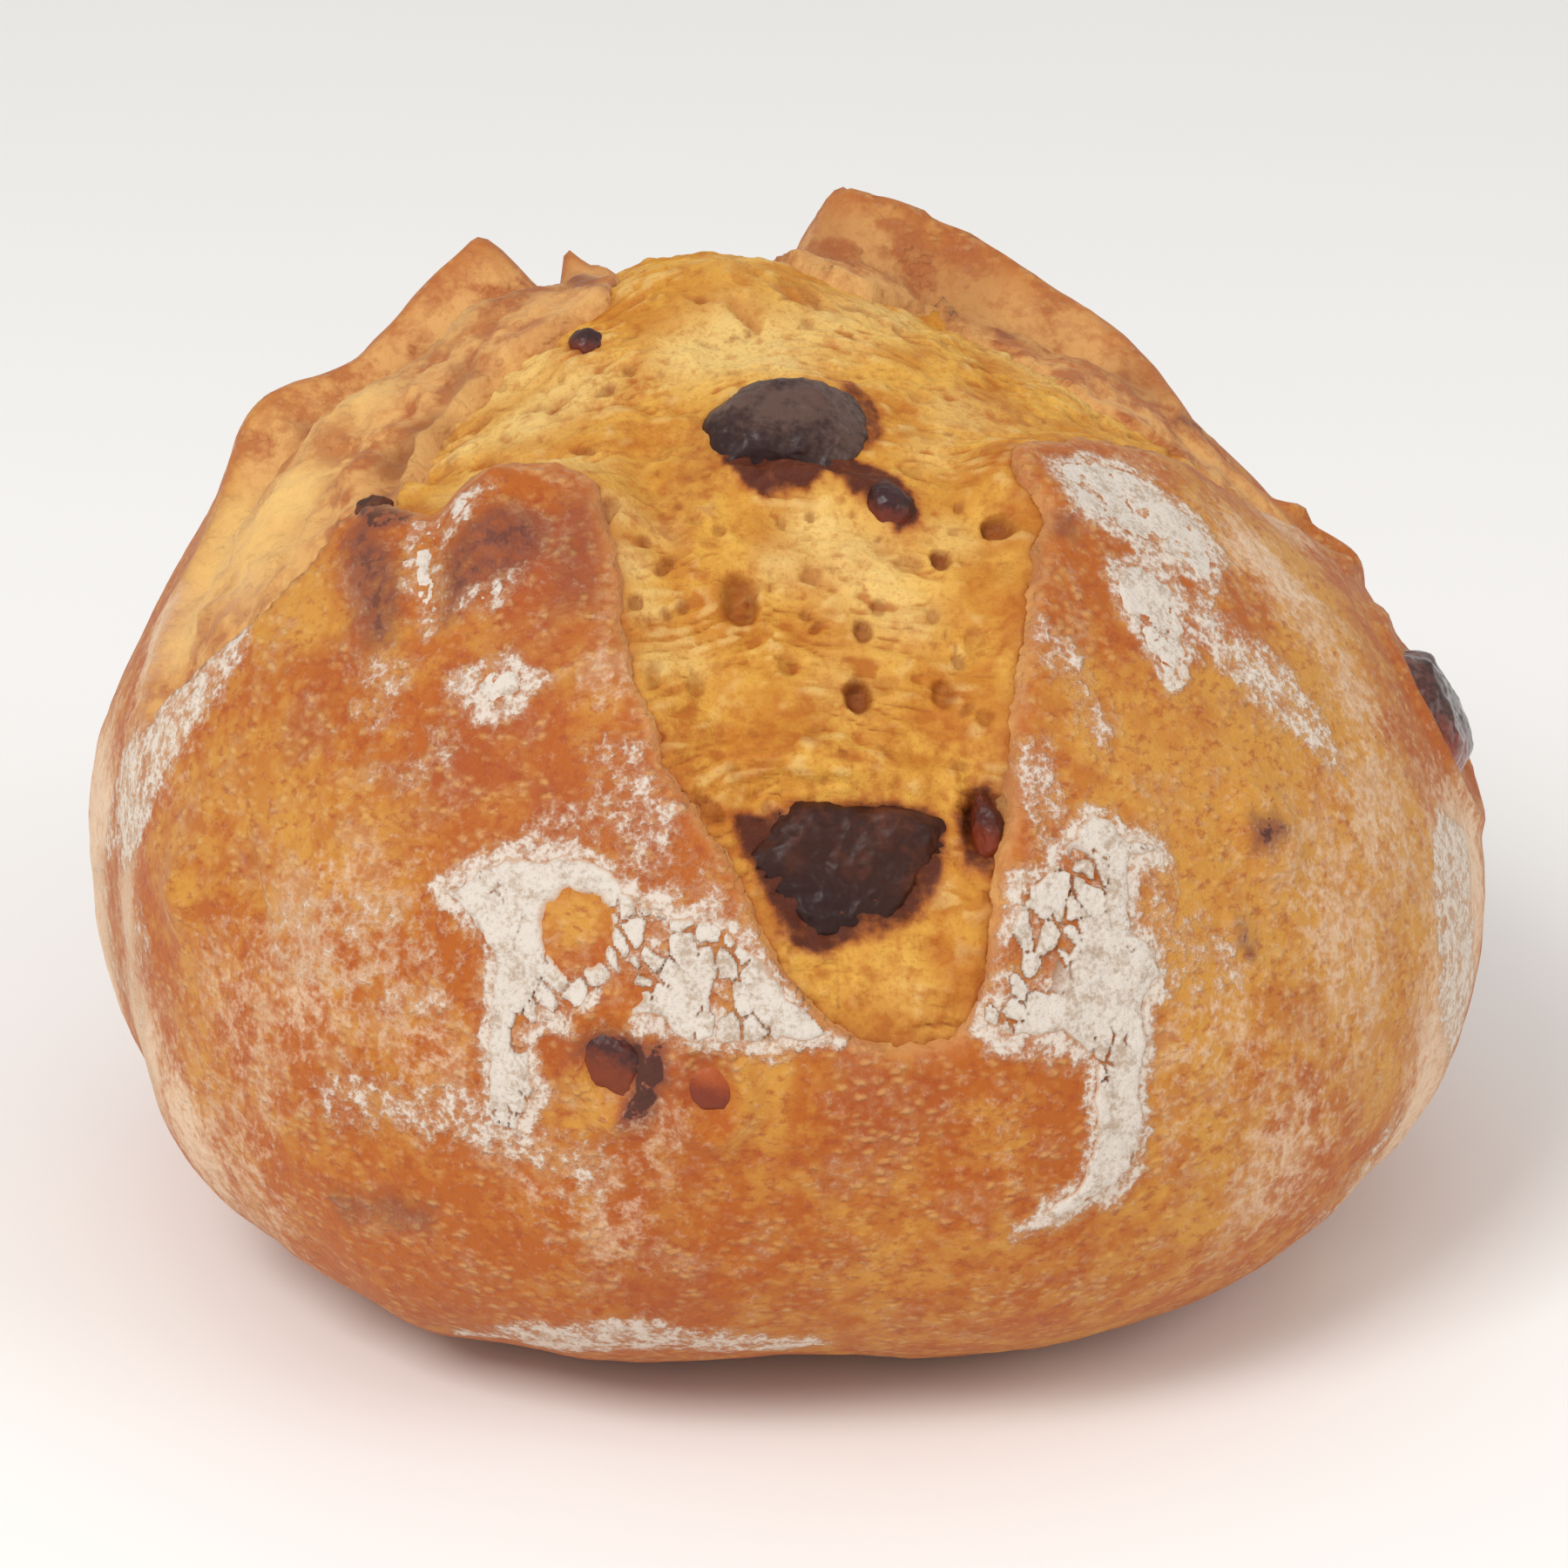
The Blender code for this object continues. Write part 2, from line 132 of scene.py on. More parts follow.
# Teeth, scoops, gouges and blisters too fine for the broad shape: (u, v, height, half width, half length).
DETAILS = (
    (-23.4, 23, -2.6, 2, 5), (-19.8, 23.6, 1.6, 1.1, 1.6), (-16.4, 24.6, 0.8, 1.2, 1.5),
    (-27.6, 22.6, 1.2, 1.7, 2.4), (-32, 23, -0.7, 2, 3), (-15, 18, -1.2, 1.4, 5), (9.2, 26, 1, 2.2, 2.2),
    (67, 8.6, 1.5, 1.6, 2.4), (73.2, 3, 1.1, 1.2, 1.8), (-43, -21, -1.8, 2, 4), (-41, -15, -1.9, 2, 3.6),
    (-37.4, -10.2, -1.5, 2.2, 2.6), (-47.2, -17, 0.8, 1.6, 5), (-43.4, -9, 0.7, 2.2, 2.2),
    (-30, -4.4, -1, 3, 1.8), (-26, -35.2, 1.1, 1.5, 1.5), (-25.6, -98.6, -0.9, 2.4, 2),
    (24.3, -72.3, -2.6, 2.4, 4.6), (11, 15.5, -1.2, 4, 2.4), (-33.8, -40, -0.8, 1.6, 4.2),
    (-28.2, -42, 0.9, 3.4, 4.6), (-38.4, -43, 0.7, 2.6, 4.5), (-76, -54.5, 1.2, 3.2, 3.6),
    (-70.5, -59.5, 0.9, 2.6, 3), (-64.5, -61.5, -1, 1, 5.5), (33.5, -33, 0.7, 2.6, 2.6),
    (58, -71, 0.8, 1.6, 1.6), (60.5, -59.5, 0.6, 3.6, 3), (-46.5, -88, 0.4, 5, 4), (-55, -75, 0.4, 6, 5),
    (30, -110, 0.4, 7, 5), (-14, -118, 0.4, 8, 6), (70, -80, 0.4, 7, 6), (52, -34, 0.4, 6, 5),
    (-50, 0, 0.9, 5, 4), (-46, -8, -0.7, 3, 5), (-56, -10, 0.6, 4, 6), (-30, 10, 0.8, 5, 4),
    (-36, 4, -0.7, 4, 3), (26, 20, 0.7, 4, 3), (40, 12, 0.7, 4, 4),
)
# Dough swollen round a piece of tomato, as (u, v, radius, height).
SWOLLEN = (
    (-20.9, -96, 5, 1.3), (-8.9, -99.6, 4.6, 1.1), (59.9, -59.2, 3.6, 0.6), (-42, -29.4, 3.4, 0.5),
    (88.5, -6, 11, 1), (52, 78, 6.6, 0.8),
)
PLEATS = (0.34, 2.2, 0.16)  # height, length and share of the crust that is finely pleated
CRUST_CELLS = 128  # squares along each edge of the ball that the crust is drawn from
FRONT_DENSITY = 0.70  # below 1 the squares are smaller on the side with the front arm
VIEW_SIDE = Vector((0.0, -0.93, 0.37))

# Where the skin changes: outlines with a strength first, then the thickness of the flour or how softly
# the colour ends, and round patches as (u, v, radius, strength).
FLOUR = (
    (0.85, 0, ((88, -29), (95, -23), (100, -29), (110, -30), (111, -40), (97, -48), (91, -42), (88, -37))),
    (0.5, 0, ((92, -86), (94, -76), (100, -62), (108, -56), (106, -67), (104, -78))),
    (0.4, 0, ((-104, -12), (-89, -32), (-85, -43), (-87, -53), (-103, -49), (-103, -61), (-109, -56),
        (-111, -36), (-114, -11))),
    (1, 1, ((-40, -75), (-34, -75), (-28, -75), (-23, -76), (-18, -78), (-14, -82), (-8, -84), (-3, -86),
        (2, -90), (8, -95), (4, -96), (-1, -97), (-5, -96), (-10, -96), (-14, -94), (-19, -93), (-21, -91),
        (-26, -92), (-29, -90), (-31, -93), (-31, -97), (-36, -100), (-41, -99), (-39, -93), (-36, -87),
        (-34, -84), (-36, -80), (-39, -77))),
    (1, 1, ((31, -76), (35, -72), (37, -68), (40, -68), (41, -69), (45, -68), (47, -69), (43, -72),
        (44, -77), (47, -78), (49, -80), (47, -84), (48, -90), (50, -95), (51, -99), (48, -103),
        (41, -107), (35, -110), (38, -107), (42, -102), (42, -98), (40, -92), (36, -91), (28, -93),
        (23, -92), (25, -88), (27, -82), (28, -79))),
    (0.9, 0.7, ((39, -39), (43, -36), (47, -37), (49, -42), (50, -46), (47, -51), (44, -49), (42, -47),
        (40, -44))),
    (0.85, 0.6, ((-32, -56), (-27, -56), (-23, -59), (-26, -61), (-30, -62), (-32, -60), (-34, -56))),
    (0.5, 0, ((-21, -66), (-17, -65), (-13, -69), (-9, -76), (-6, -82), (-1, -87), (-8, -84), (-14, -82),
        (-18, -78), (-22, -75), (-28, -76), (-27, -73), (-22, -73), (-18, -73), (-20, -71))),
    (0.5, 0, ((-41, -98), (-33, -100), (-23, -102), (-26, -108), (-31, -109), (-33, -104), (-38, -102))),
    (0.9, 0.6, ((32, -28), (37, -23), (43, -21), (47, -23), (51, -23), (53, -27), (52, -35), (47, -34),
        (43, -34), (39, -34), (35, -34))),
    (0.75, 0, ((50, -37), (56, -38), (62, -38), (68, -41), (71, -44), (66, -46), (60, -45), (53, -45),
        (49, -42))),
    (0.55, 0, ((30, -48), (32, -50), (36, -53), (39, -59), (38, -62), (34, -58), (31, -56), (29, -51))),
    (0.55, 0, ((29, -65), (32, -63), (33, -66), (35, -69), (31, -73), (29, -71))),
    (0.5, 0, ((45, -72), (50, -73), (58, -73), (60, -76), (54, -80), (48, -83), (45, -78))),
    (0.7, 0.6, ((-36, -37), (-33, -37), (-27, -36), (-26, -36), (-29, -40), (-33, -41), (-34, -43),
        (-34, -48), (-36, -50), (-38, -45), (-37, -40))),
    (0.75, 0.6, ((-32, -48), (-27, -47), (-25, -47), (-27, -50), (-32, -50))),
    (0.4, 0, ((-46, -48), (-41, -50), (-40, -55), (-43, -58), (-48, -54))),
    (0.35, 0, ((-45, -58), (-35, -60), (-34, -64), (-41, -65), (-45, -62))),
    (0.65, 0, ((-64, -84), (-56, -86), (-50, -91), (-41, -93), (-40, -98), (-47, -97), (-55, -92),
        (-62, -90), (-65, -87))),
    (0.75, 0, ((-88, -23), (-70, -31), (-64, -33), (-58, -34), (-60, -38), (-68, -40), (-75, -41),
        (-83, -40), (-91, -35), (-97, -22))),
    (0.4, 0, ((-63, -67), (-51, -71), (-40, -78), (-37, -83), (-41, -87), (-50, -84), (-59, -76),
        (-64, -72))),
    (0.8, 0, ((-70, -116), (-30, -122), (-8, -128), (9, -131), (0, -134), (-45, -126))),
)
BARE_SPOTS = (
    ((-24, -94), (-15, -95), (-4, -97), (-5, -103), (-13, -103), (-23, -101), (-30, -99), (-29, -95)),
    ((-27, -81), (-23, -80), (-19, -81), (-18, -84), (-20, -87), (-25, -87), (-27, -85)),
    ((-26, -92), (-21, -90), (-19, -88), (-16, -91), (-19, -93)),
)
# Rows far out at either side, with u beyond ±90, pale the skin along the loaf's left and right outline:
# painted light. The others are thin real dust.
PALE = (
    (-110, -10, 12, 0.8), (-108, -45, 12, 0.75), (-100, -69, 10, 0.55), (-96, -9, 9, 0.7),
    (-89, -83, 9, 0.35), (99, -31, 12, 0.75), (104, -47, 12, 0.7), (119, -49, 10, 0.6), (-53, -75, 11, 0.3),
    (-45, -83, 8, 0.15), (73, -89, 9, 0.35), (43, -25, 6, 0.45), (48, -30, 4, 0.4), (-94, -19, 5, 0.8),
    (-63, -23, 4, 0.7), (-63, -33, 4, 0.6), (98, -20, 6, 0.8), (72, -32, 5, 0.4), (65, -25, 6, 0.4),
    (64, -3, 5, 0.5), (-76, -18, 5, 0.6), (-84, -31, 7, 0.7), (-98, -65, 6, 0.55), (-72, -36, 6, 0.65),
    (-74, -11, 5, 0.8), (-75, -78, 6, 0.25), (76, -44, 8, 0.45), (67, -59, 8, 0.3), (78, -63, 8, 0.4),
    (57, -79, 7, 0.35), (59, -21, 6, 0.65), (-26, -110, 6, 0.35), (-16, -103, 5, 0.3), (92, -27, 3, 0.8),
    (110, -51, 4, 0.7), (104, -71, 4, 0.7), (-103, -14, 5, 0.8), (-115, -13, 5, 0.7), (-93, -39, 6, 0.75),
    (-101, -51, 6, 0.6), (-62, -73, 8, 0.3), (-76, -67, 6, 0.3), (-46, -92, 6, 0.3), (-34, -104, 5, 0.3),
    (-16, -61, 4, 0.3), (79, -81, 8, 0.3), (52, -90, 7, 0.2), (29, -101, 6, 0.12),
)
BURNT = (
    (0.8, 2, ((-44, -34), (-41, -33), (-38, -40), (-39, -46), (-41, -49), (-44, -48), (-45, -42))),
    (0.8, 2, ((-33, -42), (-27, -40), (-24, -40), (-20, -42), (-22, -46), (-26, -48), (-30, -48),
        (-34, -50), (-34, -46))),
    (0.45, 3, ((-20, -39), (-15, -40), (-16, -48), (-16, -53), (-22, -53), (-22, -46))),
    (1, 0.8, ((-42, -31), (-40, -30), (-36, -35), (-37, -36), (-41, -35))),
    (1, 0.8, ((51, 10), (54, 13), (58, 32), (55, 11), (51, 9))),
    (0.9, 1.2, ((57, -60), (60, -57), (62, -58), (60, -62), (58, -63))),
    (0.85, 0.9, ((57, -70), (59, -72), (61, -72), (60, -73), (57, -72))),
    (0.8, 0.9, ((29, 17), (32, 17), (32, 14), (30, 16))),
    (0.7, 1.2, ((32, -36), (35, -36), (35, -39), (32, -40))),
    (0.7, 1.2, ((-54, 7), (-51, 6), (-52, 3), (-54, 3))),
    (0.6, 2, ((-70, -93), (-52, -102), (-55, -104), (-70, -96))),
    (0.6, 1.2, ((-21, 24), (-19, 19), (-16, 5), (-19, 6), (-21, 14))),
    (1, 1, ((-26, -93), (-21, -93), (-14, -95), (-14, -98), (-18, -102), (-21, -101), (-19, -98),
        (-23, -95), (-26, -95))),
)
RED = (
    (-43, -24, 2.4, 1), (-42, -17, 2.4, 1), (-38.5, -11, 2.2, 1), (-33.5, -5.5, 2, 0.7),
    (-11, -99, 4, 0.8), (-18, -102, 4, 0.6), (-28, -94, 3, 0.6), (-21, -46, 6, 0.8), (-26, -54, 6, 0.6),
    (-26, -62, 6, 0.5), (-16, -59, 4, 0.7), (-35, -65, 6, 0.6), (-48, -48, 5, 0.5), (-55, -52, 5, 0.4),
    (-44, -69, 6, 0.4), (-23, -73, 5, 0.6), (20, -100, 5, 0.45), (11, -102, 6, 0.5), (-21, -116, 11, 0.75),
    (7, -116, 11, 0.3), (28, -69, 3, 0.6), (31, -43, 3, 0.5), (32, -53, 3, 0.4), (-13, -77, 4, 0.7),
    (-37, 9, 4, 0.5), (-26, 11, 4, 0.6), (-18, 12, 2, 0.7), (9, 21, 4, 0.5), (16, 20, 3, 0.3),
    (24, 20, 6, 0.5), (35, 16, 5, 0.25), (46, 13, 4, 0.6), (-38, -29, 2, 1), (-41, -14, 2, 1),
    (-37, -10, 2, 0.8), (-33, -2, 2, 0.6),
)
GOLD = (
    (-60, -52, 8, 0.35), (30, -100, 6, 0.45), (35, -114, 6, 0.4), (-16, -61, 5, 0.5), (37, -66, 6, 0.5),
    (-31, -11, 4, 0.8), (-46, -69, 8, 0.7), (-58, -63, 8, 0.8), (-75, -47, 7, 0.7), (-80, -64, 8, 0.5),
    (-53, -90, 8, 0.4), (-26, -110, 11, 0.4), (13, -112, 11, 0.3), (79, -40, 8, 1), (91, -47, 8, 1),
    (90, -62, 8, 0.8), (69, -37, 7, 0.9), (64, -15, 7, 0.8), (-59, -20, 6, 0.8), (-50, -40, 4, 1),
    (-66, -2, 5, 0.8), (-44, 1, 4, 0.5), (-34, 10, 4, 0.6), (-23, -99, 2, 1), (-66, -54, 8, 0.5),
    (-74, -55, 3, 0.7), (42, -59, 11, 0.7), (59, -50, 9, 0.8), (54, -63, 11, 0.7), (65, -25, 9, 0.8),
    (54, -20, 8, 0.6), (73, -54, 11, 0.7), (58, -83, 13, 0.7), (57, -107, 14, 0.5), (78, -66, 11, 0.6),
    (-23, -83, 3, 1), (-27, -98, 3, 1), (-24, -99, 2, 0.9), (-2, -100, 4, 0.8), (58, -97, 11, 0.5),
    (-66, -9, 7, 0.8), (-55, -12, 5, 1), (-48, 2, 5, 0.6), (-72, -18, 4, 0.8), (-54, -34, 5, 1),
)
CRUST_COLOURS = {
    "orange": "#B05A14", "gold": "#C98C38", "red": "#9C4018", "burnt": "#7C4232", "torn": "#D8A05E",
    "torn gold": "#EBC074", "torn brown": "#B06430", "torn red": "#8C4A22", "speck": "#E0AC66",
    # The rim colour is a painted highlight along the opening's edge; pale and tan are real dust and, at the
    # loaf's sides, a painted light.
    "pale": "#E4C6A8", "tan": "#D0A072", "char": "#45231C", "rim": "#CF9258", "dust": "#C89C7C",
    "flour": "#DDD1C4", "flour shade": "#BFA28C",
}
# Grains of the skin's patterns, as (length of a lump, detail, roughness).
CRUST_GRAINS = ((21, 3, 0.55), (5.5, 4, 0.55), (3.4, 4, 0.6), (1.5, 3, 0.6), (0.5, 2, 0.6))
BLISTER_SPACING = 1.25
BLISTER_STRAY = (1.8, 0.9)  # length of the waves that move the blisters, and how far
MOTTLE_LENGTH = 1.1
FLATTENED = (0.75, 0.75, 1.2)  # squeezes blisters and mottles, because the dough spread as it rose


def smooth_step(low, high, value):
    share = np.clip((value - low) / (high - low), 0.0, 1.0)
    return share * share * (3.0 - 2.0 * share)


def opening_outline():
    """The closed edge of the opening: u, v, lift of the rim and width of the torn face."""
    knots = np.array(FRONT_RIGHT_EDGE + BACK_RIGHT_EDGE + BACK_LEFT_EDGE + FRONT_LEFT_EDGE)
    before, after, later = (np.roll(knots, shift, axis=0) for shift in (1, -1, -2))
    rows = []
    for step in range(OUTLINE_STEPS):
        t = step / OUTLINE_STEPS
        rows.append(
            0.5 * (
                2.0 * knots
                + (after - before) * t
                + (2.0 * before - 5.0 * knots + 4.0 * after - later) * t ** 2
                + (3.0 * knots - before - 3.0 * after + later) * t ** 3
            )
        )
    return np.stack(rows, axis=1).reshape(-1, knots.shape[1])


def edge_of(chart):
    """At each place: distance to the opening's edge, negative inside, the way out, lift, and how far the
    edge of the back flaps is."""
    outline = opening_outline()
    front = len(FRONT_RIGHT_EDGE) * OUTLINE_STEPS
    back_rows = range(front - 1, front + (len(BACK_RIGHT_EDGE) + len(BACK_LEFT_EDGE)) * OUTLINE_STEPS)
    nearest = np.full(len(chart), np.inf)
    back = np.full(len(chart), np.inf)
    away = np.zeros((len(chart), 2))
    inside = np.zeros(len(chart), bool)
    total = np.zeros(len(chart))
    lift = np.zeros(len(chart))
    for number, (row, after) in enumerate(zip(outline, np.roll(outline, -1, axis=0))):
        run = after[:2] - row[:2]
        offset = chart - row[:2]
        share = np.clip(offset @ run / (run @ run), 0.0, 1.0)
        gap = offset - share[:, None] * run
        length = np.hypot(*gap.T)
        closer = length < nearest
        nearest[closer] = length[closer]
        away[closer] = gap[closer]
        if number in back_rows:
            back = np.minimum(back, length)
        crosses = (row[1] > chart[:, 1]) != (after[1] > chart[:, 1])
        if run[1] != 0.0:
            inside ^= crosses & (offset[:, 0] < offset[:, 1] * run[0] / run[1])
        weight = 1.0 / ((offset ** 2).sum(axis=1) + EDGE_BLEND) ** 2
        total += weight
        lift += weight * row[2]
    sign = np.where(inside, -1.0, 1.0)
    away *= (sign / np.maximum(nearest, 1e-6))[:, None]
    return nearest * sign, away, lift / total, back


def depth_inside(chart, outline):
    """How far each place lies inside a closed outline, negative outside it."""
    nearest = np.full(len(chart), np.inf)
    inside = np.zeros(len(chart), bool)
    for start, end in zip(np.array(outline), np.roll(outline, -1, axis=0)):
        run = end - start
        offset = chart - start
        share = np.clip(offset @ run / (run @ run), 0.0, 1.0)
        nearest = np.minimum(nearest, np.hypot(*(offset - share[:, None] * run).T))
        if run[1] != 0.0:
            crosses = (start[1] > chart[:, 1]) != (end[1] > chart[:, 1])
            inside ^= crosses & (offset[:, 0] < offset[:, 1] * run[0] / run[1])
    return np.where(inside, nearest, -nearest)


def directions_of(chart):
    arc = np.maximum(np.hypot(*chart.T), 1e-9)
    level = np.sin(arc / CHART_RADIUS) / arc
    return np.column_stack((chart * level[:, None], np.cos(arc / CHART_RADIUS)))


def chart_of(directions):
    level = np.hypot(directions[:, 0], directions[:, 1])
    arc = CHART_RADIUS * np.arccos(np.clip(directions[:, 2], -1.0, 1.0))
    return directions[:, :2] * (arc / np.maximum(level, 1e-9))[:, None]


def dome_radius(directions):
    level = np.hypot(directions[:, 0], directions[:, 1])
    rise = directions[:, 2]
    above = rise > 0.0
    height = np.where(above, CROWN_RISE, HEEL_DROP)
    power = np.where(above, CROWN_POWER, HEEL_POWER)
    return ((level / LOAF_RADIUS) ** power + (np.abs(rise) / height) ** power) ** (-1.0 / power)


def soft_noise(points, length, layer):
    """Smooth noise from -1 to 1 at places on the unit ball or stretched from it."""
    scale = LOAF_RADIUS / length
    shift = Vector((layer, layer, layer))
    return np.array([noise.noise(Vector(place) * scale + shift) for place in points])


def bump(chart, u, v, half_u, half_v=None):
    return np.exp(-((chart[:, 0] - u) / half_u) ** 2 - ((chart[:, 1] - v) / (half_v or half_u)) ** 2)


def patches(chart, rows):
    """How strongly each place is covered by soft round patches, 0 to 1."""
    bare = np.ones(len(chart))
    for u, v, radius, strength in rows:
        bare *= 1.0 - strength * np.clip(1.25 * bump(chart, u, v, radius), 0.0, 1.0)
    return 1.0 - bare


def outlined(chart, directions, rows, grow=0.0):
    """How strongly each place is covered by outlines with ragged, soft ends, 0 to 1."""
    stray = grow + 0.9 * soft_noise(directions, 4.0, 21.0) + 0.55 * soft_noise(directions, 1.3, 22.0)
    cover = np.zeros(len(chart))
    for strength, soft, outline in rows:
        cover = np.maximum(cover, strength * smooth_step(-soft, soft, depth_inside(chart, outline) + stray))
    return cover


def flour_cover(chart, directions, thick):
    """How strongly each place is floured: by the thick layer if thick is true, else by the thin dust."""
    bare = outlined(chart, directions, [(1.0, 1.1, ring) for ring in BARE_SPOTS])
    if thick:
        rows = [(layer, 0.5, ring) for strength, layer, ring in FLOUR]
        return outlined(chart, directions, rows, -1.0) * (1.0 - bare)
    rows = [(strength, 1.6, ring) for strength, layer, ring in FLOUR]
    return outlined(chart, directions, rows, 0.7) * (1.0 - bare)


def broad_relief(chart, directions):
    """Swellings and lumps that crust and crumb share."""
    height = LUMP_HEIGHT * soft_noise(directions, LUMP_LENGTH, LUMP_LAYER)
    for u, v, rise, radius in SWELLINGS:
        height += rise * bump(chart, u, v, radius)
    return height


def crumb_floor(chart, directions):
    crags = CRAG_HEIGHT * soft_noise(directions, CRAG_LENGTH, CRAG_LAYER)
    return CRUMB_CROWN_RISE * bump(chart, *CRUMB_CROWN) - CRUMB_RECESS + crags


def tear_of(chart, directions):
    """Distance to the edge, the way out, lift, depth within a torn face and how far out on the crumb."""
    ragged = sum(rise * soft_noise(directions, length, 3.0 + rise) for rise, length in EDGE_RAGGED)
    distance, away, lift, back = edge_of(chart)
    distance = distance + EDGE_WANDER * soft_noise(directions, EDGE_WANDER_LENGTH, WANDER_LAYER)
    torn = np.maximum(depth_inside(chart, TORN_FACES[0]), depth_inside(chart, TORN_FACES[1])) + 1.5 * ragged
    past = np.minimum(-distance - 0.3, -torn) + ragged
    return distance, away, lift, back, torn, past


def skin_grain(chart, directions):
    """Blisters, pleats and the flour's thickness on the skin."""
    flour, burn = flour_cover(chart, directions, False), outlined(chart, directions, BURNT)
    fine = soft_noise(directions, 3.1, 5.0)
    height = 0.3 * soft_noise(directions, 9.0, 6.0) + 0.14 * fine
    pleat = 1.0 - np.abs(soft_noise(directions, PLEATS[1], 8.0)) * 4.0
    pleated = smooth_step(PLEATS[2], 0.5, burn + 0.35 * soft_noise(directions, 15.0, 9.0))
    height += PLEATS[0] * np.clip(pleat, 0.0, 1.0) * pleated
    for u, v, radius, rise in SWOLLEN:
        out = np.hypot(chart[:, 0] - u, chart[:, 1] - v)
        height += rise * np.exp(-((out - radius) / 1.6) ** 2)
    return height + 0.15 * flour + 0.2 * burn * fine, flour, burn


def crust_surface(chart, directions):
    """Height of the baked surface, skin and torn faces, with what its colours need."""
    distance, away, lift, back, torn, past = tear_of(chart, directions)
    floor = crumb_floor(chart, directions)
    sharp = patches(chart, SHARP_LEDGES)
    step = LEDGE_STEP[0] + (LEDGE_STEP[1] - LEDGE_STEP[0]) * sharp
    inward = np.where(distance < 0.0, back / np.maximum(back + np.maximum(torn, 0.0), 0.4), 0.0)
    slope = smooth_step(0.0, 1.0, inward) ** 0.8
    on_face = smooth_step(-1.0, 0.5, torn)
    low = np.maximum(on_face, smooth_step(*MIDDLE_OF_TEAR, -distance))
    end = low * (floor + step) + (1.0 - low) * lift
    height = lift * np.exp(-np.maximum(distance, 0.0) / RIM_DECAY) * (1.0 - slope) + end * slope
    flap_step = on_face * smooth_step(0.0, 1.4, -distance) * smooth_step(1.5, 6.0, back)
    height += flap_step * (floor + step + 1.2 * sharp - height) * (1.0 - smooth_step(2.0, 16.0, -distance))
    height -= EDGE_GROOVE[0] * np.exp(-((distance + 0.1) / EDGE_GROOVE[1]) ** 2) * (1.0 - on_face)
    drop = smooth_step(0.0, 1.3, past)
    height -= drop * (SKIN + TUCK)
    hidden = smooth_step(2.0, 8.0, past)
    height = height * (1.0 - hidden) + (floor - UNDER_CRUMB) * hidden
    skin = 1.0 - smooth_step(-0.2, 0.9 + 2.6 * on_face, -distance)
    grainy, flour, burn = skin_grain(chart, directions)
    crag = 1.0 - 2.0 * np.abs(soft_noise(directions, 5.0, 7.0))
    fine = soft_noise(directions, 2.1, 17.0)
    height += skin * grainy + (1.0 - skin) * (0.6 * crag + 0.36 * fine - 0.24) * (0.35 + 0.65 * on_face)
    for u, v, rise, half_u, half_v in DETAILS:
        height += rise * bump(chart, u, v, half_u, half_v)
    height += broad_relief(chart, directions)
    slide = (0.7 * drop - 0.4 * np.clip(past, 0.0, 1.7)) * (1.0 - hidden)
    # Low places in the torn faces' relief, where the torn faces are painted browner: a painted shade.
    hollow_shade = np.clip(-crag * 0.5 - fine * 0.35, 0.0, 1.0)
    return height, away * slide[:, None], past, {
        "flour": flour * skin, "covered": flour_cover(chart, directions, True), "burn": burn,
        "torn": 1.0 - skin, "hollow_shade": hollow_shade * (1.0 - skin), "ledge": sharp * np.exp(-np.abs(torn) / 1.2),
        # Closeness to the opening's edge, where a lighter line is painted as a highlight.
        "rim": np.exp(-np.abs(distance) / 0.6) * (1.0 - 0.6 * on_face),
    }


def points_at(chart, height):
    """Points of the loaf, in millimetres, with the given height above the plain dome."""
    directions = directions_of(chart)
    points = directions * (dome_radius(directions) + height)[:, None]
    points[:, 0] += CROWN_LEAN * np.maximum(points[:, 2], 0.0)
    points[:, 2] = np.maximum(points[:, 2] + WIDEST_HEIGHT, 0.0)
    return points


def ball_grid(cells):
    """Directions and square faces of a ball drawn from a cube, finest towards VIEW_SIDE."""
    ticks = np.tan(np.linspace(-1.0, 1.0, cells + 1) * math.pi / 4.0)
    across, up = np.meshgrid(ticks, ticks, indexing="ij")
    flat = np.column_stack((across.ravel(), up.ravel(), np.ones(across.size)))
    turns = [Matrix.Rotation(math.radians(a), 3, "X") for a in (0, 90, 180, 270)]
    turns += [Matrix.Rotation(math.radians(a), 3, "Y") for a in (90, 270)]
    corner = np.arange(cells * (cells + 1)).reshape(cells, cells + 1)[:, :-1].ravel()
    square = np.column_stack((corner, corner + cells + 1, corner + cells + 2, corner + 1))
    points = np.concatenate([flat @ np.array(turn).T for turn in turns])
    faces = np.concatenate([square + len(flat) * side for side in range(6)])
    points /= np.linalg.norm(points, axis=1)[:, None]
    _, first, back = np.unique(np.round(points, 6), axis=0, return_index=True, return_inverse=True)
    points, faces = points[first], back.ravel()[faces]
    angle = np.arccos(np.clip(points[:, 2], -1.0, 1.0))
    turned = angle * (FRONT_DENSITY + (1.0 - FRONT_DENSITY) * (angle / math.pi) ** 2)
    ring = np.maximum(np.hypot(points[:, 0], points[:, 1]), 1e-9)
    points[:, :2] *= (np.sin(turned) / ring)[:, None]
    points[:, 2] = np.cos(turned)
    facing = np.array(Vector((0, 0, 1)).rotation_difference(VIEW_SIDE).to_matrix())
    return points @ facing.T, faces


def write_mesh(name, points, faces, values):
    """An object from points in millimetres, with one named number per point for each of values."""
    mesh = bpy.data.meshes.new(name)
    mesh.from_pydata((points * MM).tolist(), [], faces)
    mesh.shade_smooth()
    for label, numbers in values.items():
        layer = mesh.attributes.new(label, "FLOAT", "POINT")
        layer.data.foreach_set("value", np.ascontiguousarray(numbers, np.float32))
    made = bpy.data.objects.new(name, mesh)
    bpy.context.scene.collection.objects.link(made)
    return made


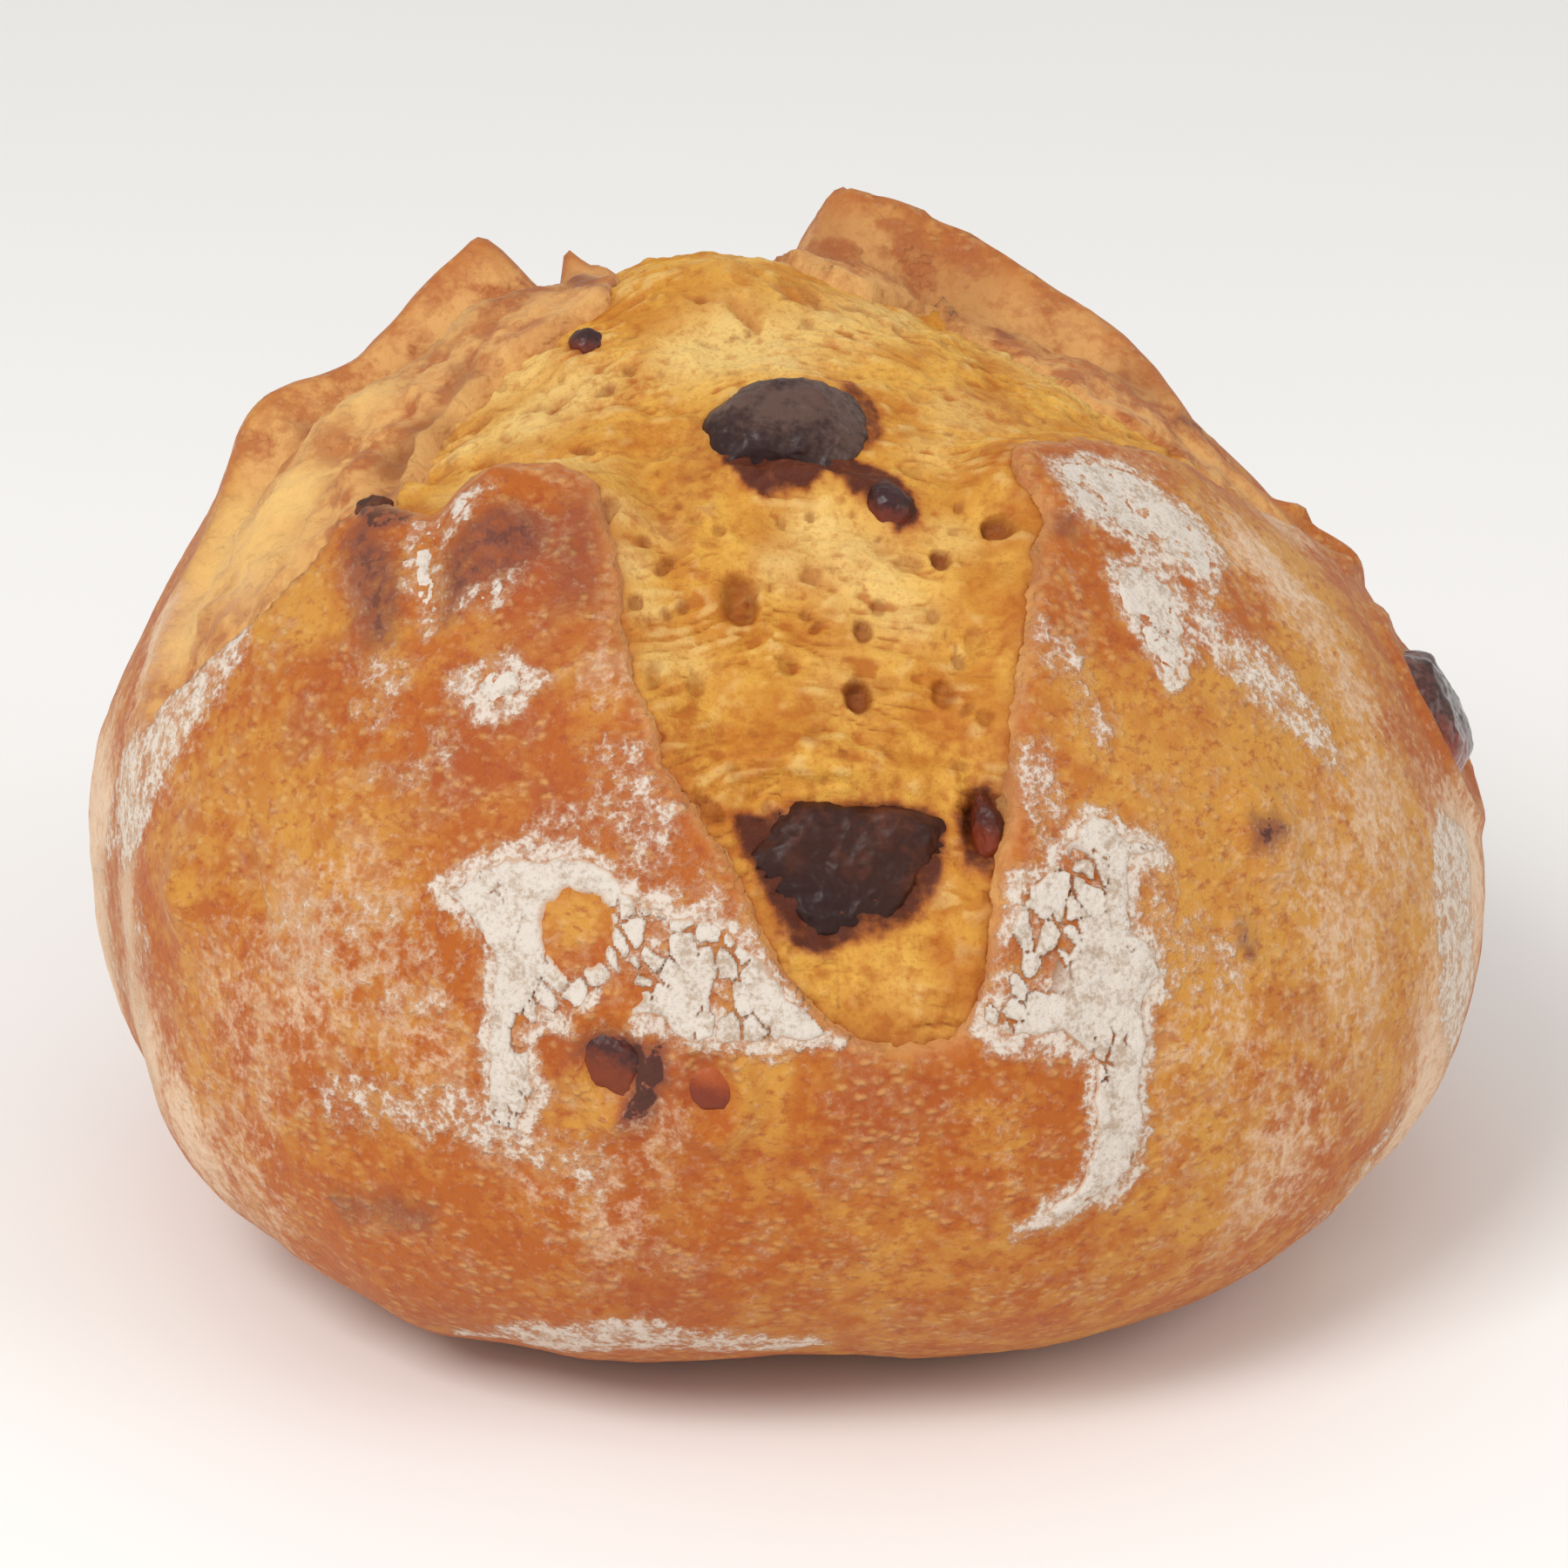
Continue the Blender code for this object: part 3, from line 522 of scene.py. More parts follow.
directions, faces = ball_grid(CRUST_CELLS)
chart = chart_of(directions)
distance, away, lift, back, torn, past = tear_of(chart, directions)
flap = torn < -1.0
chart += away * np.where((np.abs(past) < 0.34) & flap, past, 0.0)[:, None]
directions = directions_of(chart)
height, slide, past, values = crust_surface(chart, directions)
values.update(red=patches(chart, RED), gold=patches(chart, GOLD), pale=patches(chart, PALE))
crust = write_mesh("crust", points_at(chart + slide, height), faces.tolist(), values)


def linear(code):
    """A linear colour from its sRGB code."""
    parts = [int(code[i:i + 2], 16) / 255.0 for i in (1, 3, 5)]
    return (*[p / 12.92 if p <= 0.04045 else ((p + 0.055) / 1.055) ** 2.4 for p in parts], 1.0)


def put(tree, kind, *fed, **named):
    """Adds a node and gives its first live output. Its live inputs take fed in turn. Of named, capitals
    are inputs and the rest are settings. An input takes a plain value or the output that feeds it."""
    made = tree.nodes.new("ShaderNode" + kind)
    for name in [name for name in named if name[0].islower()]:
        setattr(made, name, named.pop(name))
    pairs = list(zip([socket for socket in made.inputs if socket.enabled], fed))
    pairs += [(made.inputs[name], value) for name, value in named.items()]
    for socket, value in pairs:
        if isinstance(value, bpy.types.NodeSocket):
            tree.links.new(value, socket)
        else:
            socket.default_value = value
    return next(socket for socket in made.outputs if socket.enabled)


def taken(tree, part):
    """What a part stands for: a number or output alone, (output, weight), or (output, low, high) or
    (output, low, high, to low, to high), where low to high is mapped smoothly to 0 to 1 or to the rest."""
    value, *how = part if isinstance(part, tuple) else (part,)
    if len(how) > 1:
        return put(tree, "MapRange", value, *how, interpolation_type="SMOOTHSTEP")
    return put(tree, "Math", value, *how, operation="MULTIPLY") if how else value


def joined(tree, operation, *parts, clamp=False):
    """Adds or multiplies parts."""
    total = taken(tree, parts[0])
    for part in parts[1:]:
        total = put(tree, "Math", total, taken(tree, part), operation=operation)
    total.node.use_clamp = clamp
    return total


def layered(tree, colour, *layers):
    """Lays colours over the first one. A layer is the part that it covers and its colour."""
    for part, over in layers:
        pair = [linear(paint) if isinstance(paint, str) else paint for paint in (colour, over)]
        colour = put(tree, "Mix", taken(tree, part), *pair, data_type="RGBA")
    return colour


def new_material(name, grains, labels, **shader_values):
    """A material, its tree, the surface's own coordinates in metres, a noise for each of the grains and
    the mesh's named numbers."""
    made = bpy.data.materials.new(name)
    made.use_nodes = True
    tree = made.node_tree
    for key, value in shader_values.items():
        tree.nodes["Principled BSDF"].inputs[key.replace("_", " ")].default_value = value
    where = put(tree, "TexCoord").node.outputs["Object"]
    noises = [
        put(tree, "TexNoise", Vector=where, Scale=1.0 / (length * MM), Detail=detail, Roughness=rough)
        for length, detail, rough in grains
    ]
    paint = {label: put(tree, "Attribute", attribute_name=label).node.outputs["Fac"] for label in labels}
    return made, tree, where, noises, paint


def dress(piece, made, **sources):
    """Feeds the inputs of a material's shader, and gives the material to the piece."""
    inputs = made.node_tree.nodes["Principled BSDF"].inputs
    for name, source in sources.items():
        made.node_tree.links.new(source, inputs[name.replace("_", " ")])
    piece.data.materials.append(made)


# A baked skin hardly shines. Its gold, red and burnt patches run into each other under a dust of flour.
made, tree, where, (broad, middle, spots, small, tiny), paint = new_material(
    "crust", CRUST_GRAINS, values, Specular_IOR_Level=0.25, Sheen_Weight=0.08, Sheen_Roughness=0.6,
    Sheen_Tint=(1.0, 0.8, 0.6, 1.0),
)
tint = CRUST_COLOURS
gold = joined(
    tree, "ADD", paint["gold"], (broad, 0.35, 0.7, -0.2, 0.4), (spots, 0.38, 0.66, -0.3, 0.4), clamp=True
)
red = joined(tree, "ADD", paint["red"], (middle, 0.35, 0.7, -0.3, 0.25), clamp=True)
flat_where = put(tree, "Mapping", Vector=where, Scale=FLATTENED)
stray = put(tree, "TexNoise", Vector=where, Scale=1.0 / (BLISTER_STRAY[0] * MM)).node.outputs["Color"]
stray = put(tree, "VectorMath", stray, Scale=BLISTER_STRAY[1] * MM, operation="SCALE")
stray = put(tree, "VectorMath", flat_where, stray)
cells = put(tree, "TexVoronoi", Vector=stray, Scale=1.0 / (BLISTER_SPACING * MM))
blister = joined(tree, "MULTIPLY", (cells, 0.55, 0.1), (middle, 0.36, 0.6))
mottle = put(
    tree, "TexNoise", Vector=flat_where, Scale=1.0 / (MOTTLE_LENGTH * MM), Detail=3.0, Roughness=0.65
)
burnt = joined(tree, "MULTIPLY", paint["burn"], (small, 0.25, 0.6, 0.6, 1.15), clamp=True)
# The torn faces turn brown at random, and in the hollows of their relief as a painted shade.
torn_mix = joined(
    tree, "ADD", (middle, 0.38, 0.66), (paint["hollow_shade"], 1.4), (small, 0.35, 0.65, -0.3, 0.3), clamp=True
)
torn_colour = layered(
    tree, tint["torn"], (torn_mix, tint["torn brown"]), ((paint["gold"], 0.85), tint["torn gold"]),
    ((paint["red"], 0.85), tint["torn red"]), ((paint["ledge"], 0.6), tint["speck"]),
    (paint["burn"], tint["burnt"]),
)
# A lighter line along the opening's edge: a painted highlight on the crust's edge.
rim = joined(tree, "MULTIPLY", paint["rim"], (small, 0.3, 0.6, 0.2, 0.7))
powder = joined(tree, "ADD", (small, 0.3, 0.7, -0.3, 0.3), (tiny, 0.3, 0.7, -0.18, 0.18))
skin_only = joined(tree, "ADD", 1.0, (paint["torn"], -0.85), (burnt, 0.75, 0.95, 0.0, -1.0), clamp=True)
# Thin dust, and the painted light that the pale patches put along the loaf's sides, lay tan and pale over
# the skin.
soft_dust_and_side_light = joined(
    tree, "ADD", paint["pale"], (middle, 0.35, 0.65, -0.25, 0.2), (small, 0.35, 0.65, -0.12, 0.12)
)
soft_dust_and_side_light = joined(tree, "MULTIPLY", (soft_dust_and_side_light, 0.0, 0.85, 0.0, 0.8), skin_only)
dust = joined(tree, "ADD", (paint["pale"], 1.5), (powder, 1.3))
dust = joined(tree, "MULTIPLY", (dust, 0.2, 1.6, 0.0, 0.9), skin_only)
cover = joined(
    tree, "ADD", (paint["flour"], 1.5), powder, (paint["covered"], -0.75), (middle, 0.3, 0.7, -0.25, 0.2)
)
flour_on = joined(tree, "MULTIPLY", (cover, 0.25, 1.4), skin_only)
grainy = joined(tree, "ADD", small, tiny)
flour_colour = layered(tree, tint["flour shade"], ((grainy, 0.8, 1.15), tint["flour"]))
flour_colour = layered(tree, tint["dust"], ((flour_on, 0.35, 0.95), flour_colour))
colour = layered(
    tree, tint["orange"], (gold, tint["gold"]), ((red, 0.8), tint["red"]), ((blister, 0.5), tint["speck"]),
    ((mottle, 0.5, 0.3, 0.0, 0.62), tint["red"]), (burnt, tint["burnt"]),
    ((burnt, 0.85, 1.0, 0.0, 0.85), tint["char"]), (paint["torn"], torn_colour), (rim, tint["rim"]),
    (soft_dust_and_side_light, tint["tan"]), (dust, tint["pale"]), ((flour_on, 0.92), flour_colour),
)
relief = joined(tree, "ADD", (small, 0.5), (tiny, 0.35), (flour_on, 0.4), (blister, 0.45))
dress(
    crust, made, Base_Color=colour, Roughness=taken(tree, (flour_on, 0.0, 1.0, 0.55, 0.9)),
    Normal=put(tree, "Bump", Strength=1.0, Distance=0.45 * MM, Height=relief),
)
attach(crust, "root")
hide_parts("loaf")

# The flour.
# Flour dusted on the raw dough before it was scored. Where it lay thick it baked to a crisp layer, and
# the layer cracked into small plates as the dough under it swelled.

FLOUR_CELL = 0.27
FLOUR_THICKNESS = 0.34
FLOUR_SUNK = 0.3  # how deep the underside of a bare place in the layer lies in the skin
PLATE_SPACING = 2.5
CRACKED = (
    (-24, -90, 5, 1), (-17, -87, 5, 1), (-11, -84.5, 5, 1), (-31, -94, 5, 0.9), (-4, -92, 5, 0.7),
    (33, -80, 4, 0.9), (30, -86, 3.5, 0.9), (36, -76, 3, 0.7), (45, -44, 3, 0.4), (-35, -42, 4, 0.8),
    (-29, -48, 3, 1), (27, -91, 4, 0.7),
)
PLATE_SEED = 11
MISSING_PLATES = 0.12
FLOUR_COLOURS = {"shade": "#BAA490", "flour": "#DCD1C5", "crack": "#98643F", "thin": "#C8A284"}
FLOUR_GRAINS = ((2.2, 4, 0.55), (0.5, 3, 0.65))
PLATE_TILT = 0.05
GRIT = ((0.10, 0.8), (0.13, 2.4))  # height and length of the layer's own unevenness


def slab(name, steps_u, steps_v, near, chosen, top, bottom, values):
    """A closed slab over the squares of a (u, v) grid whose corners are all chosen."""
    index = np.full(len(near), -1)
    index[near] = np.arange(near.sum())
    index = index.reshape(len(steps_u), len(steps_v))
    squares = np.stack((index[:-1, :-1], index[1:, :-1], index[1:, 1:], index[:-1, 1:]), axis=-1)
    squares = squares.reshape(-1, 4)
    squares = squares[(squares >= 0).all(axis=1)]
    squares = squares[chosen[squares].all(axis=1)]
    used, squares = np.unique(squares, return_inverse=True)
    squares = squares.reshape(-1, 4)
    starts, ends = squares.ravel(), np.roll(squares, -1, axis=1).ravel()
    count = len(used)
    lone = ~np.isin(starts * count + ends, ends * count + starts)
    starts, ends = starts[lone], ends[lone]
    sides = np.column_stack((ends, starts, starts + count, ends + count))
    faces = squares.tolist() + (squares[:, ::-1] + count).tolist() + sides.tolist()
    points = np.vstack((top[used], bottom[used]))
    return write_mesh(name, points, faces, {key: np.tile(number[used], 2) for key, number in values.items()})


plate_rng = np.random.default_rng(PLATE_SEED)
for number, (strength, layer, outline) in enumerate(row for row in FLOUR if row[1] >= 0.4):
    corners = np.array(outline)
    low, high = corners.min(axis=0) - 2.0, corners.max(axis=0) + 2.0
    steps_u, steps_v = (np.arange(low[k], high[k], FLOUR_CELL) for k in (0, 1))
    chart = np.stack(np.meshgrid(steps_u, steps_v, indexing="ij"), axis=-1).reshape(-1, 2)
    near = depth_inside(chart, outline) > -2.0
    chart = chart[near]
    directions = directions_of(chart)
    cover = flour_cover(chart, directions, True)
    seeds = np.stack(np.meshgrid(*(np.arange(low[k], high[k], PLATE_SPACING) for k in (0, 1))), axis=-1)
    seeds = seeds.reshape(-1, 2) + plate_rng.uniform(-1.5, 1.5, (seeds.size // 2, 2))
    wander = np.column_stack([soft_noise(directions, 1.6, layer_at) for layer_at in (31.0, 32.0)])
    warped = chart + 0.35 * wander
    gaps = np.hypot(*(warped[:, None] - seeds[None]).transpose(2, 0, 1))
    order = np.argsort(gaps, axis=1)[:, :2]
    first, second = np.take_along_axis(gaps, order, axis=1).T
    opened = 0.55 * patches(chart, CRACKED) - 0.26 + 0.6 * soft_noise(directions, 5.0, 33.0)
    plate = smooth_step(-0.1, 0.16, second - first - opened)
    missing = plate_rng.random(len(seeds)) < MISSING_PLATES
    plate *= 1.0 - missing[order[:, 0]] * patches(chart, CRACKED)
    tilt = plate_rng.uniform(-PLATE_TILT, PLATE_TILT, (len(seeds), 2))[order[:, 0]]
    lean = ((warped - seeds[order[:, 0]]) * tilt).sum(axis=1)
    grit = GRIT[0][0] * soft_noise(directions, GRIT[0][1], 34.0)
    grit += GRIT[1][0] * soft_noise(directions, GRIT[1][1], 35.0)
    shown = cover * plate
    height, slide, past, spare = crust_surface(chart, directions)
    base = height - FLOUR_SUNK
    top = base + shown * (FLOUR_SUNK + FLOUR_THICKNESS * layer ** 0.5 + lean + grit)
    flour = slab(
        f"flour_{number}", steps_u, steps_v, near, (cover > 0.02) & (past < -0.4),
        points_at(chart, top), points_at(chart, base - 0.4),
        {"plate": plate, "layer": np.clip(cover / layer, 0.0, 1.0)},
    )
    # Dry flour is chalky and matt. It turns grey-brown where it is thin, and the cracks show baked skin.
    made, tree, where, (soft, grit_share), paint = new_material(
        f"flour_{number}", FLOUR_GRAINS, ("plate", "layer"), Roughness=0.92, Specular_IOR_Level=0.15
    )
    colour = layered(
        tree, FLOUR_COLOURS["shade"],
        ((joined(tree, "ADD", soft, grit_share), 0.72, 1.1), FLOUR_COLOURS["flour"]),
        ((paint["plate"], 0.92, 0.4, 0.0, 0.95), FLOUR_COLOURS["crack"]),
        ((paint["layer"], 0.9, 0.45, 0.0, 0.85), FLOUR_COLOURS["thin"]),
    )
    dress(
        flour, made, Base_Color=colour,
        Normal=put(tree, "Bump", Strength=0.9, Distance=0.3 * MM, Height=grit_share),
    )
    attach(flour, "root")
    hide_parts("loaf")

# The torn crumb.
# Soft yellow bread, coloured by tomato, that was pulled apart as the cross opened in the oven.
# Its strands run across the tear, and burst bubbles left round pores. Juice stained it round the tomato.

CRUMB_CELL = 0.38
CRUMB_MARGIN = 2.2  # how far the crumb goes on under the crust
CRUMB_DEPTH = 5.0
BRINK = (4.0, 4.2)  # how far the crumb climbs at most beside a flap, and how wide that slope is
STRANDS = (0.62, 7.0, 1.5)  # height, length and width of the pulled strands
SMALL_PORES = 300
# The tear's own steps, as (u, v, height, half width, half length): the trough of the front arm, the
# shelf under the crown tomato, the seat and lip of the front one, and the walls under the flaps.
CRUMB_FORMS = (
    (10, -52, -1.8, 11, 15), (8, -34.5, 1.6, 9, 1.6), (9, -41, -1, 9, 2.8), (8.4, -69.6, 2.4, 12, 2.2),
    (-6.5, -84, 1.6, 3, 5), (23.5, -84, 1.6, 3, 6), (8.4, -93.5, 1, 9, 3), (-40, -12, -1.2, 12, 8),
    (-3, 6, 0.9, 12, 5), (-12, -30, -0.9, 3, 8), (25.4, -72.4, -1.6, 2.4, 3.4), (-13.4, -52, -0.8, 1.6, 9),
    (20, -20, -0.8, 5, 3), (-6, -46, 0.9, 3, 8), (24, -44, 0.9, 2.6, 7), (-3, -91, 1.5, 3, 3),
    (20, -91, 1.5, 3, 3), (4, -16, 1, 9, 2.5),
)
BRINK_GAP = (26.0, -72.0, 3.6, 5.5)  # where the wall under a flap leaves room for a piece of tomato
PORE_SEED = 5
STAINS = (
    (0.45, 2.6, ((-6, -21), (-3, -27), (-2, -35), (-5, -41), (-7, -49), (-10, -46), (-11, -37), (-9, -30))),
    (1, 1.2, ((-4, -30), (4, -29), (12, -29), (18, -32), (20, -39), (17, -40), (13, -37), (9, -35),
        (3, -37), (-1, -36))),
    (0.8, 1.2, ((11, -14), (15, -16), (16, -24), (14, -29), (11, -28))),
    (1, 1.6, ((-4, -75), (19, -73), (22, -74), (21, -80), (18, -84), (12, -86), (7, -88), (3, -88),
        (0, -85), (-2, -81))),
    (0.85, 1.4, ((22, -73), (25, -69), (28, -70), (28, -76), (26, -78), (23, -79))),
    (0.7, 1.2, ((-20, -1), (-17, -3), (-16, -7), (-19, -8), (-21, -5))),
)
ORANGE = (
    (-2, -52, 4, 0.6), (-13, -56, 3, 0.5), (-8, -66, 3, 0.6), (-10, -71, 4, 0.6), (-4, -73, 4, 0.5),
    (0, -69, 3, 0.5), (6, -67, 4, 0.5), (13, -68, 4, 0.4), (23, -65, 4, 0.5), (22, -60, 2, 0.7),
    (29, -52, 3, 0.7), (28, -65, 2, 0.7), (27, -27, 3, 0.5), (29, -35, 2, 0.6), (30, -12, 5, 0.4),
    (46, 4, 4, 0.5), (27, 8, 4, 0.15), (-16, -16, 4, 0.4), (-14, -25, 3, 0.5), (-44, -31, 3, 0.3),
    (12, -94, 6, 0.4), (17, -95, 5, 0.5), (24, -89, 3, 0.6), (11, -75, 4, 0.3), (-12, -41, 2, 0.6),
    (-11, -48, 1, 0.6),
)
BRIGHT = (
    (14, 2, 5, 0.5), (-31, -4, 5, 0.9), (-34, -17, 3, 0.9), (-26, -4, 4, 0.8), (-18, -14, 4, 0.5),
    (41, 9, 8, 1), (31, 12, 4, 0.6), (25, -15, 5, 0.5), (-2, 11, 4, 0.4), (-13, -48, 2, 0.8),
    (-11, -59, 2, 0.6), (-14, -41, 2, 0.6), (13, -46, 6, 0.75), (8, -41, 4, 0.8), (17, -51, 4, 0.6),
    (3, -47, 3, 0.6), (0, -8, 6, 1), (-6, -11, 5, 0.9), (9, -4, 6, 0.7), (17, 8, 5, 0.7), (4, -12, 4, 0.8),
    (-26, -17, 5, 0.9), (-30, -30, 4, 1), (-20, -14, 5, 0.7), (-20, -32, 4, 0.6), (-10, -43, 2, 0.5),
    (-14, -47, 2, 0.8), (-12, -53, 2, 0.7), (-7, -59, 2, 0.5), (23, -40, 3, 0.5), (10, -61, 4, 0.25),
    (16, -92, 5, 0.15), (21, -27, 3, 0.5), (-15, -41, 2, 0.7),
)
PORES = (
    (21.8, -43.4, 1.1, 1), (28, -38, 1.4, 1), (11.8, -62.1, 1.5, 1), (12.7, -54.1, 1.1, 0.8),
    (21.8, -60.4, 1.3, 0.5), (24, -35, 0.6, 0.6), (-1.5, -51.7, 2.1, 0.65), (-13, -52.3, 0.8, 0.7),
    (-8.2, -52.3, 0.7, 0.6), (-10, -53.3, 0.6, 0.6), (-11.8, -44.6, 0.6, 0.6), (14.7, -50.7, 0.8, 0.5),
    (20.7, -51.2, 0.8, 0.5), (23.5, -56.2, 0.8, 0.6), (6, -52.7, 0.7, 0.5), (-3.6, -42.5, 0.8, 0.5),
    (-7.1, -61.8, 1.1, 0.4), (-13.5, -12.3, 0.7, 0.6), (-4.9, -0.8, 0.7, 0.5), (29.5, -22, 0.7, 0.5),
    (7.1, -2.1, 0.8, 0.35), (38.9, 11, 0.7, 0.4), (0.5, -74.8, 0.7, 0.5), (25.8, -62.5, 0.8, 0.4),
    (7, -39.2, 0.6, 0.6),
)
# The juice colour is a real stain round the tomato and also a painted shadow along the crust's edge.
CRUMB_COLOURS = {
    "crumb": "#C4812A", "golden": "#DCA646", "bright": "#E8C67C", "orange": "#B0601A", "juice_and_edge_shadow": "#A4541F",
    # The pore colour is a painted shade inside the pores, and pale a painted highlight on raised strands.
    "stain": "#4C1C12", "pore": "#883C10", "pale": "#E4C27C",
}
CRUMB_GRAINS = ((6, 4, 0.55), (1.6, 4, 0.6), (0.45, 2, 0.6))

steps_u = np.arange(-60.0, 80.0, CRUMB_CELL)
steps_v = np.arange(-101.0, 88.0, CRUMB_CELL)
chart = np.stack(np.meshgrid(steps_u, steps_v, indexing="ij"), axis=-1).reshape(-1, 2)
near = edge_of(chart)[0] < CRUMB_MARGIN + 1.5
chart = chart[near]
directions = directions_of(chart)
distance, away, lift, back, torn, past = tear_of(chart, directions)
floor = crumb_floor(chart, directions)
for u, v, rise, half_u, half_v in CRUMB_FORMS:
    floor += rise * bump(chart, u, v, half_u, half_v)
by_ledge = np.maximum(smooth_step(-1.5, 0.5, torn), smooth_step(*MIDDLE_OF_TEAR, -distance))
brink = by_ledge * (floor - 0.2) + (1.0 - by_ledge) * np.minimum(lift - 0.4 - SKIN, floor + BRINK[0])
brink += (floor - brink) * bump(chart, *BRINK_GAP)
open_part = np.maximum(past, 0.0)
height = floor + (brink - floor) * np.exp(-(open_part / BRINK[1]) ** 2)
height -= 2.0 * np.maximum(-past, 0.0)
lean = np.where(chart[:, 0] < 2.0, 0.25, -0.05)
across = (chart[:, 1] - lean * chart[:, 0]) / STRANDS[2]
stretched = np.column_stack((chart[:, 0] / STRANDS[1], across, 0.02 * chart[:, 1]))
strand = np.minimum(4.0 * np.abs(soft_noise(stretched / LOAF_RADIUS, 1.0, 11.0)), 1.0) - 0.6
strand_mask = smooth_step(-0.25, 0.3, soft_noise(directions, 12.0, 12.0))
crag = 1.0 - 2.2 * np.abs(soft_noise(directions, 6.0, 18.0) + 0.4 * soft_noise(directions, 2.6, 19.0))
rough = 0.6 * soft_noise(directions, 2.9, 13.0) + 0.4 * soft_noise(directions, 1.4, 14.0)
height += STRANDS[0] * strand * strand_mask - 0.75 * np.clip(-crag - 0.1, 0.0, 1.0) + 0.55 * rough
draw = np.random.default_rng(PORE_SEED)
pores = [(u, v, r, s, 1.3, draw.uniform(1.2, 1.9)) for u, v, r, s in PORES]
for _ in range(SMALL_PORES):
    u, v = chart[draw.integers(len(chart))]
    size = 0.3 + 0.8 * draw.random() ** 3
    pores.append((u, v, size, draw.uniform(0.2, 0.6), draw.uniform(1.2, 2.4), draw.uniform(0, math.pi)))
pore = np.zeros(len(chart))
for u, v, radius, strength, longer, turn in pores:
    offset = chart - (u, v)
    close = np.hypot(*offset.T) < 3.0 * radius * longer
    along = offset[close] @ (math.cos(turn), math.sin(turn))
    side = offset[close] @ (-math.sin(turn), math.cos(turn))
    out = np.hypot(along / (radius * longer), side / radius) * (1.0 + 0.35 * rough[close])
    height[close] -= 1.1 * radius * strength * smooth_step(1.25, 0.6, out)
    height[close] += 0.14 * radius * strength * np.exp(-((out - 1.35) / 0.35) ** 2)
    # The pore mask paints the pores' insides darker: a painted shade in the holes.
    pore[close] = np.maximum(pore[close], strength * smooth_step(1.3, 0.75, out))
height += broad_relief(chart, directions)
values = {
    "pore": pore, "stain": outlined(chart, directions, STAINS), "orange": patches(chart, ORANGE),
    # A band of crumb along the crust's edge, painted in the juice colour: a painted shadow under the flaps.
    "bright": patches(chart, BRIGHT), "edge": np.exp(-open_part / 1.2) * (1.0 - by_ledge),
    # Raised strands and bumps, painted pale as a highlight, and the low parts between them, painted orange
    # as a shade.
    "ridge_light_and_shade": np.clip(0.5 + 0.8 * rough + 0.6 * strand * strand_mask, 0, 1),
    # Hollows of the crags, painted more orange: a painted shade.
    "hollow_shade": np.clip(-crag * 0.9, 0.0, 1.0),
}
crumb = slab(
    "crumb", steps_u, steps_v, near, past > -CRUMB_MARGIN,
    points_at(chart, height), points_at(chart, height - CRUMB_DEPTH), values,
)
# Crumb lets a little light in, so its thin strands glow yellow.
made, tree, where, (middle, small, tiny), paint = new_material(
    "crumb", CRUMB_GRAINS, values, Roughness=0.62, Specular_IOR_Level=0.25, Subsurface_Weight=0.2,
    Subsurface_Scale=2.0 * MM, Subsurface_Radius=(1.0, 0.55, 0.2),
)
tint = CRUMB_COLOURS
orange = joined(tree, "ADD", paint["orange"], (small, 0.35, 0.75, -0.4, 0.6), clamp=True)
# The crags' hollows are painted more orange as well: a painted shade.
orange = joined(tree, "ADD", orange, (paint["hollow_shade"], 0.8), clamp=True)
stained = joined(tree, "ADD", paint["stain"], (small, 0.3, 0.7, -0.14, 0.12))
colour = layered(
    tree, tint["crumb"], ((middle, 0.35, 0.68), tint["golden"]), ((paint["bright"], 0.85), tint["bright"]),
    # Low parts of the relief are painted orange and raised strands pale: painted shade and highlight.
    ((orange, 0.8), tint["orange"]), ((paint["ridge_light_and_shade"], 0.36, 0.0, 0.0, 0.75), tint["orange"]),
    ((paint["ridge_light_and_shade"], 0.62, 1.0, 0.0, 0.45), tint["pale"]), ((tiny, 0.5, 0.25, 0.0, 0.4), tint["orange"]),
    # Along the crust's edge the juice colour is a painted shadow; in the stains it is real juice.
    ((paint["edge"], 0.7), tint["juice_and_edge_shadow"]), ((stained, 0.02, 0.8, 0.0, 0.85), tint["juice_and_edge_shadow"]),
    # Pores are painted dark inside: a painted shade.
    ((stained, 0.5, 1.0, 0.0, 0.92), tint["stain"]), ((paint["pore"], 0.85), tint["pore"]),
)
relief = joined(tree, "ADD", (small, 0.6), (tiny, 0.4))
dress(
    crumb, made, Base_Color=colour,
    Normal=put(tree, "Bump", Strength=0.8, Distance=0.4 * MM, Height=relief),
)
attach(crumb, "root")
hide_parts("loaf")

# The dried tomato.
# Leathery pieces that were kneaded into the dough, nearly black where the oven reached them.
# Each sits in its own hollow, held by the dough baked round it.

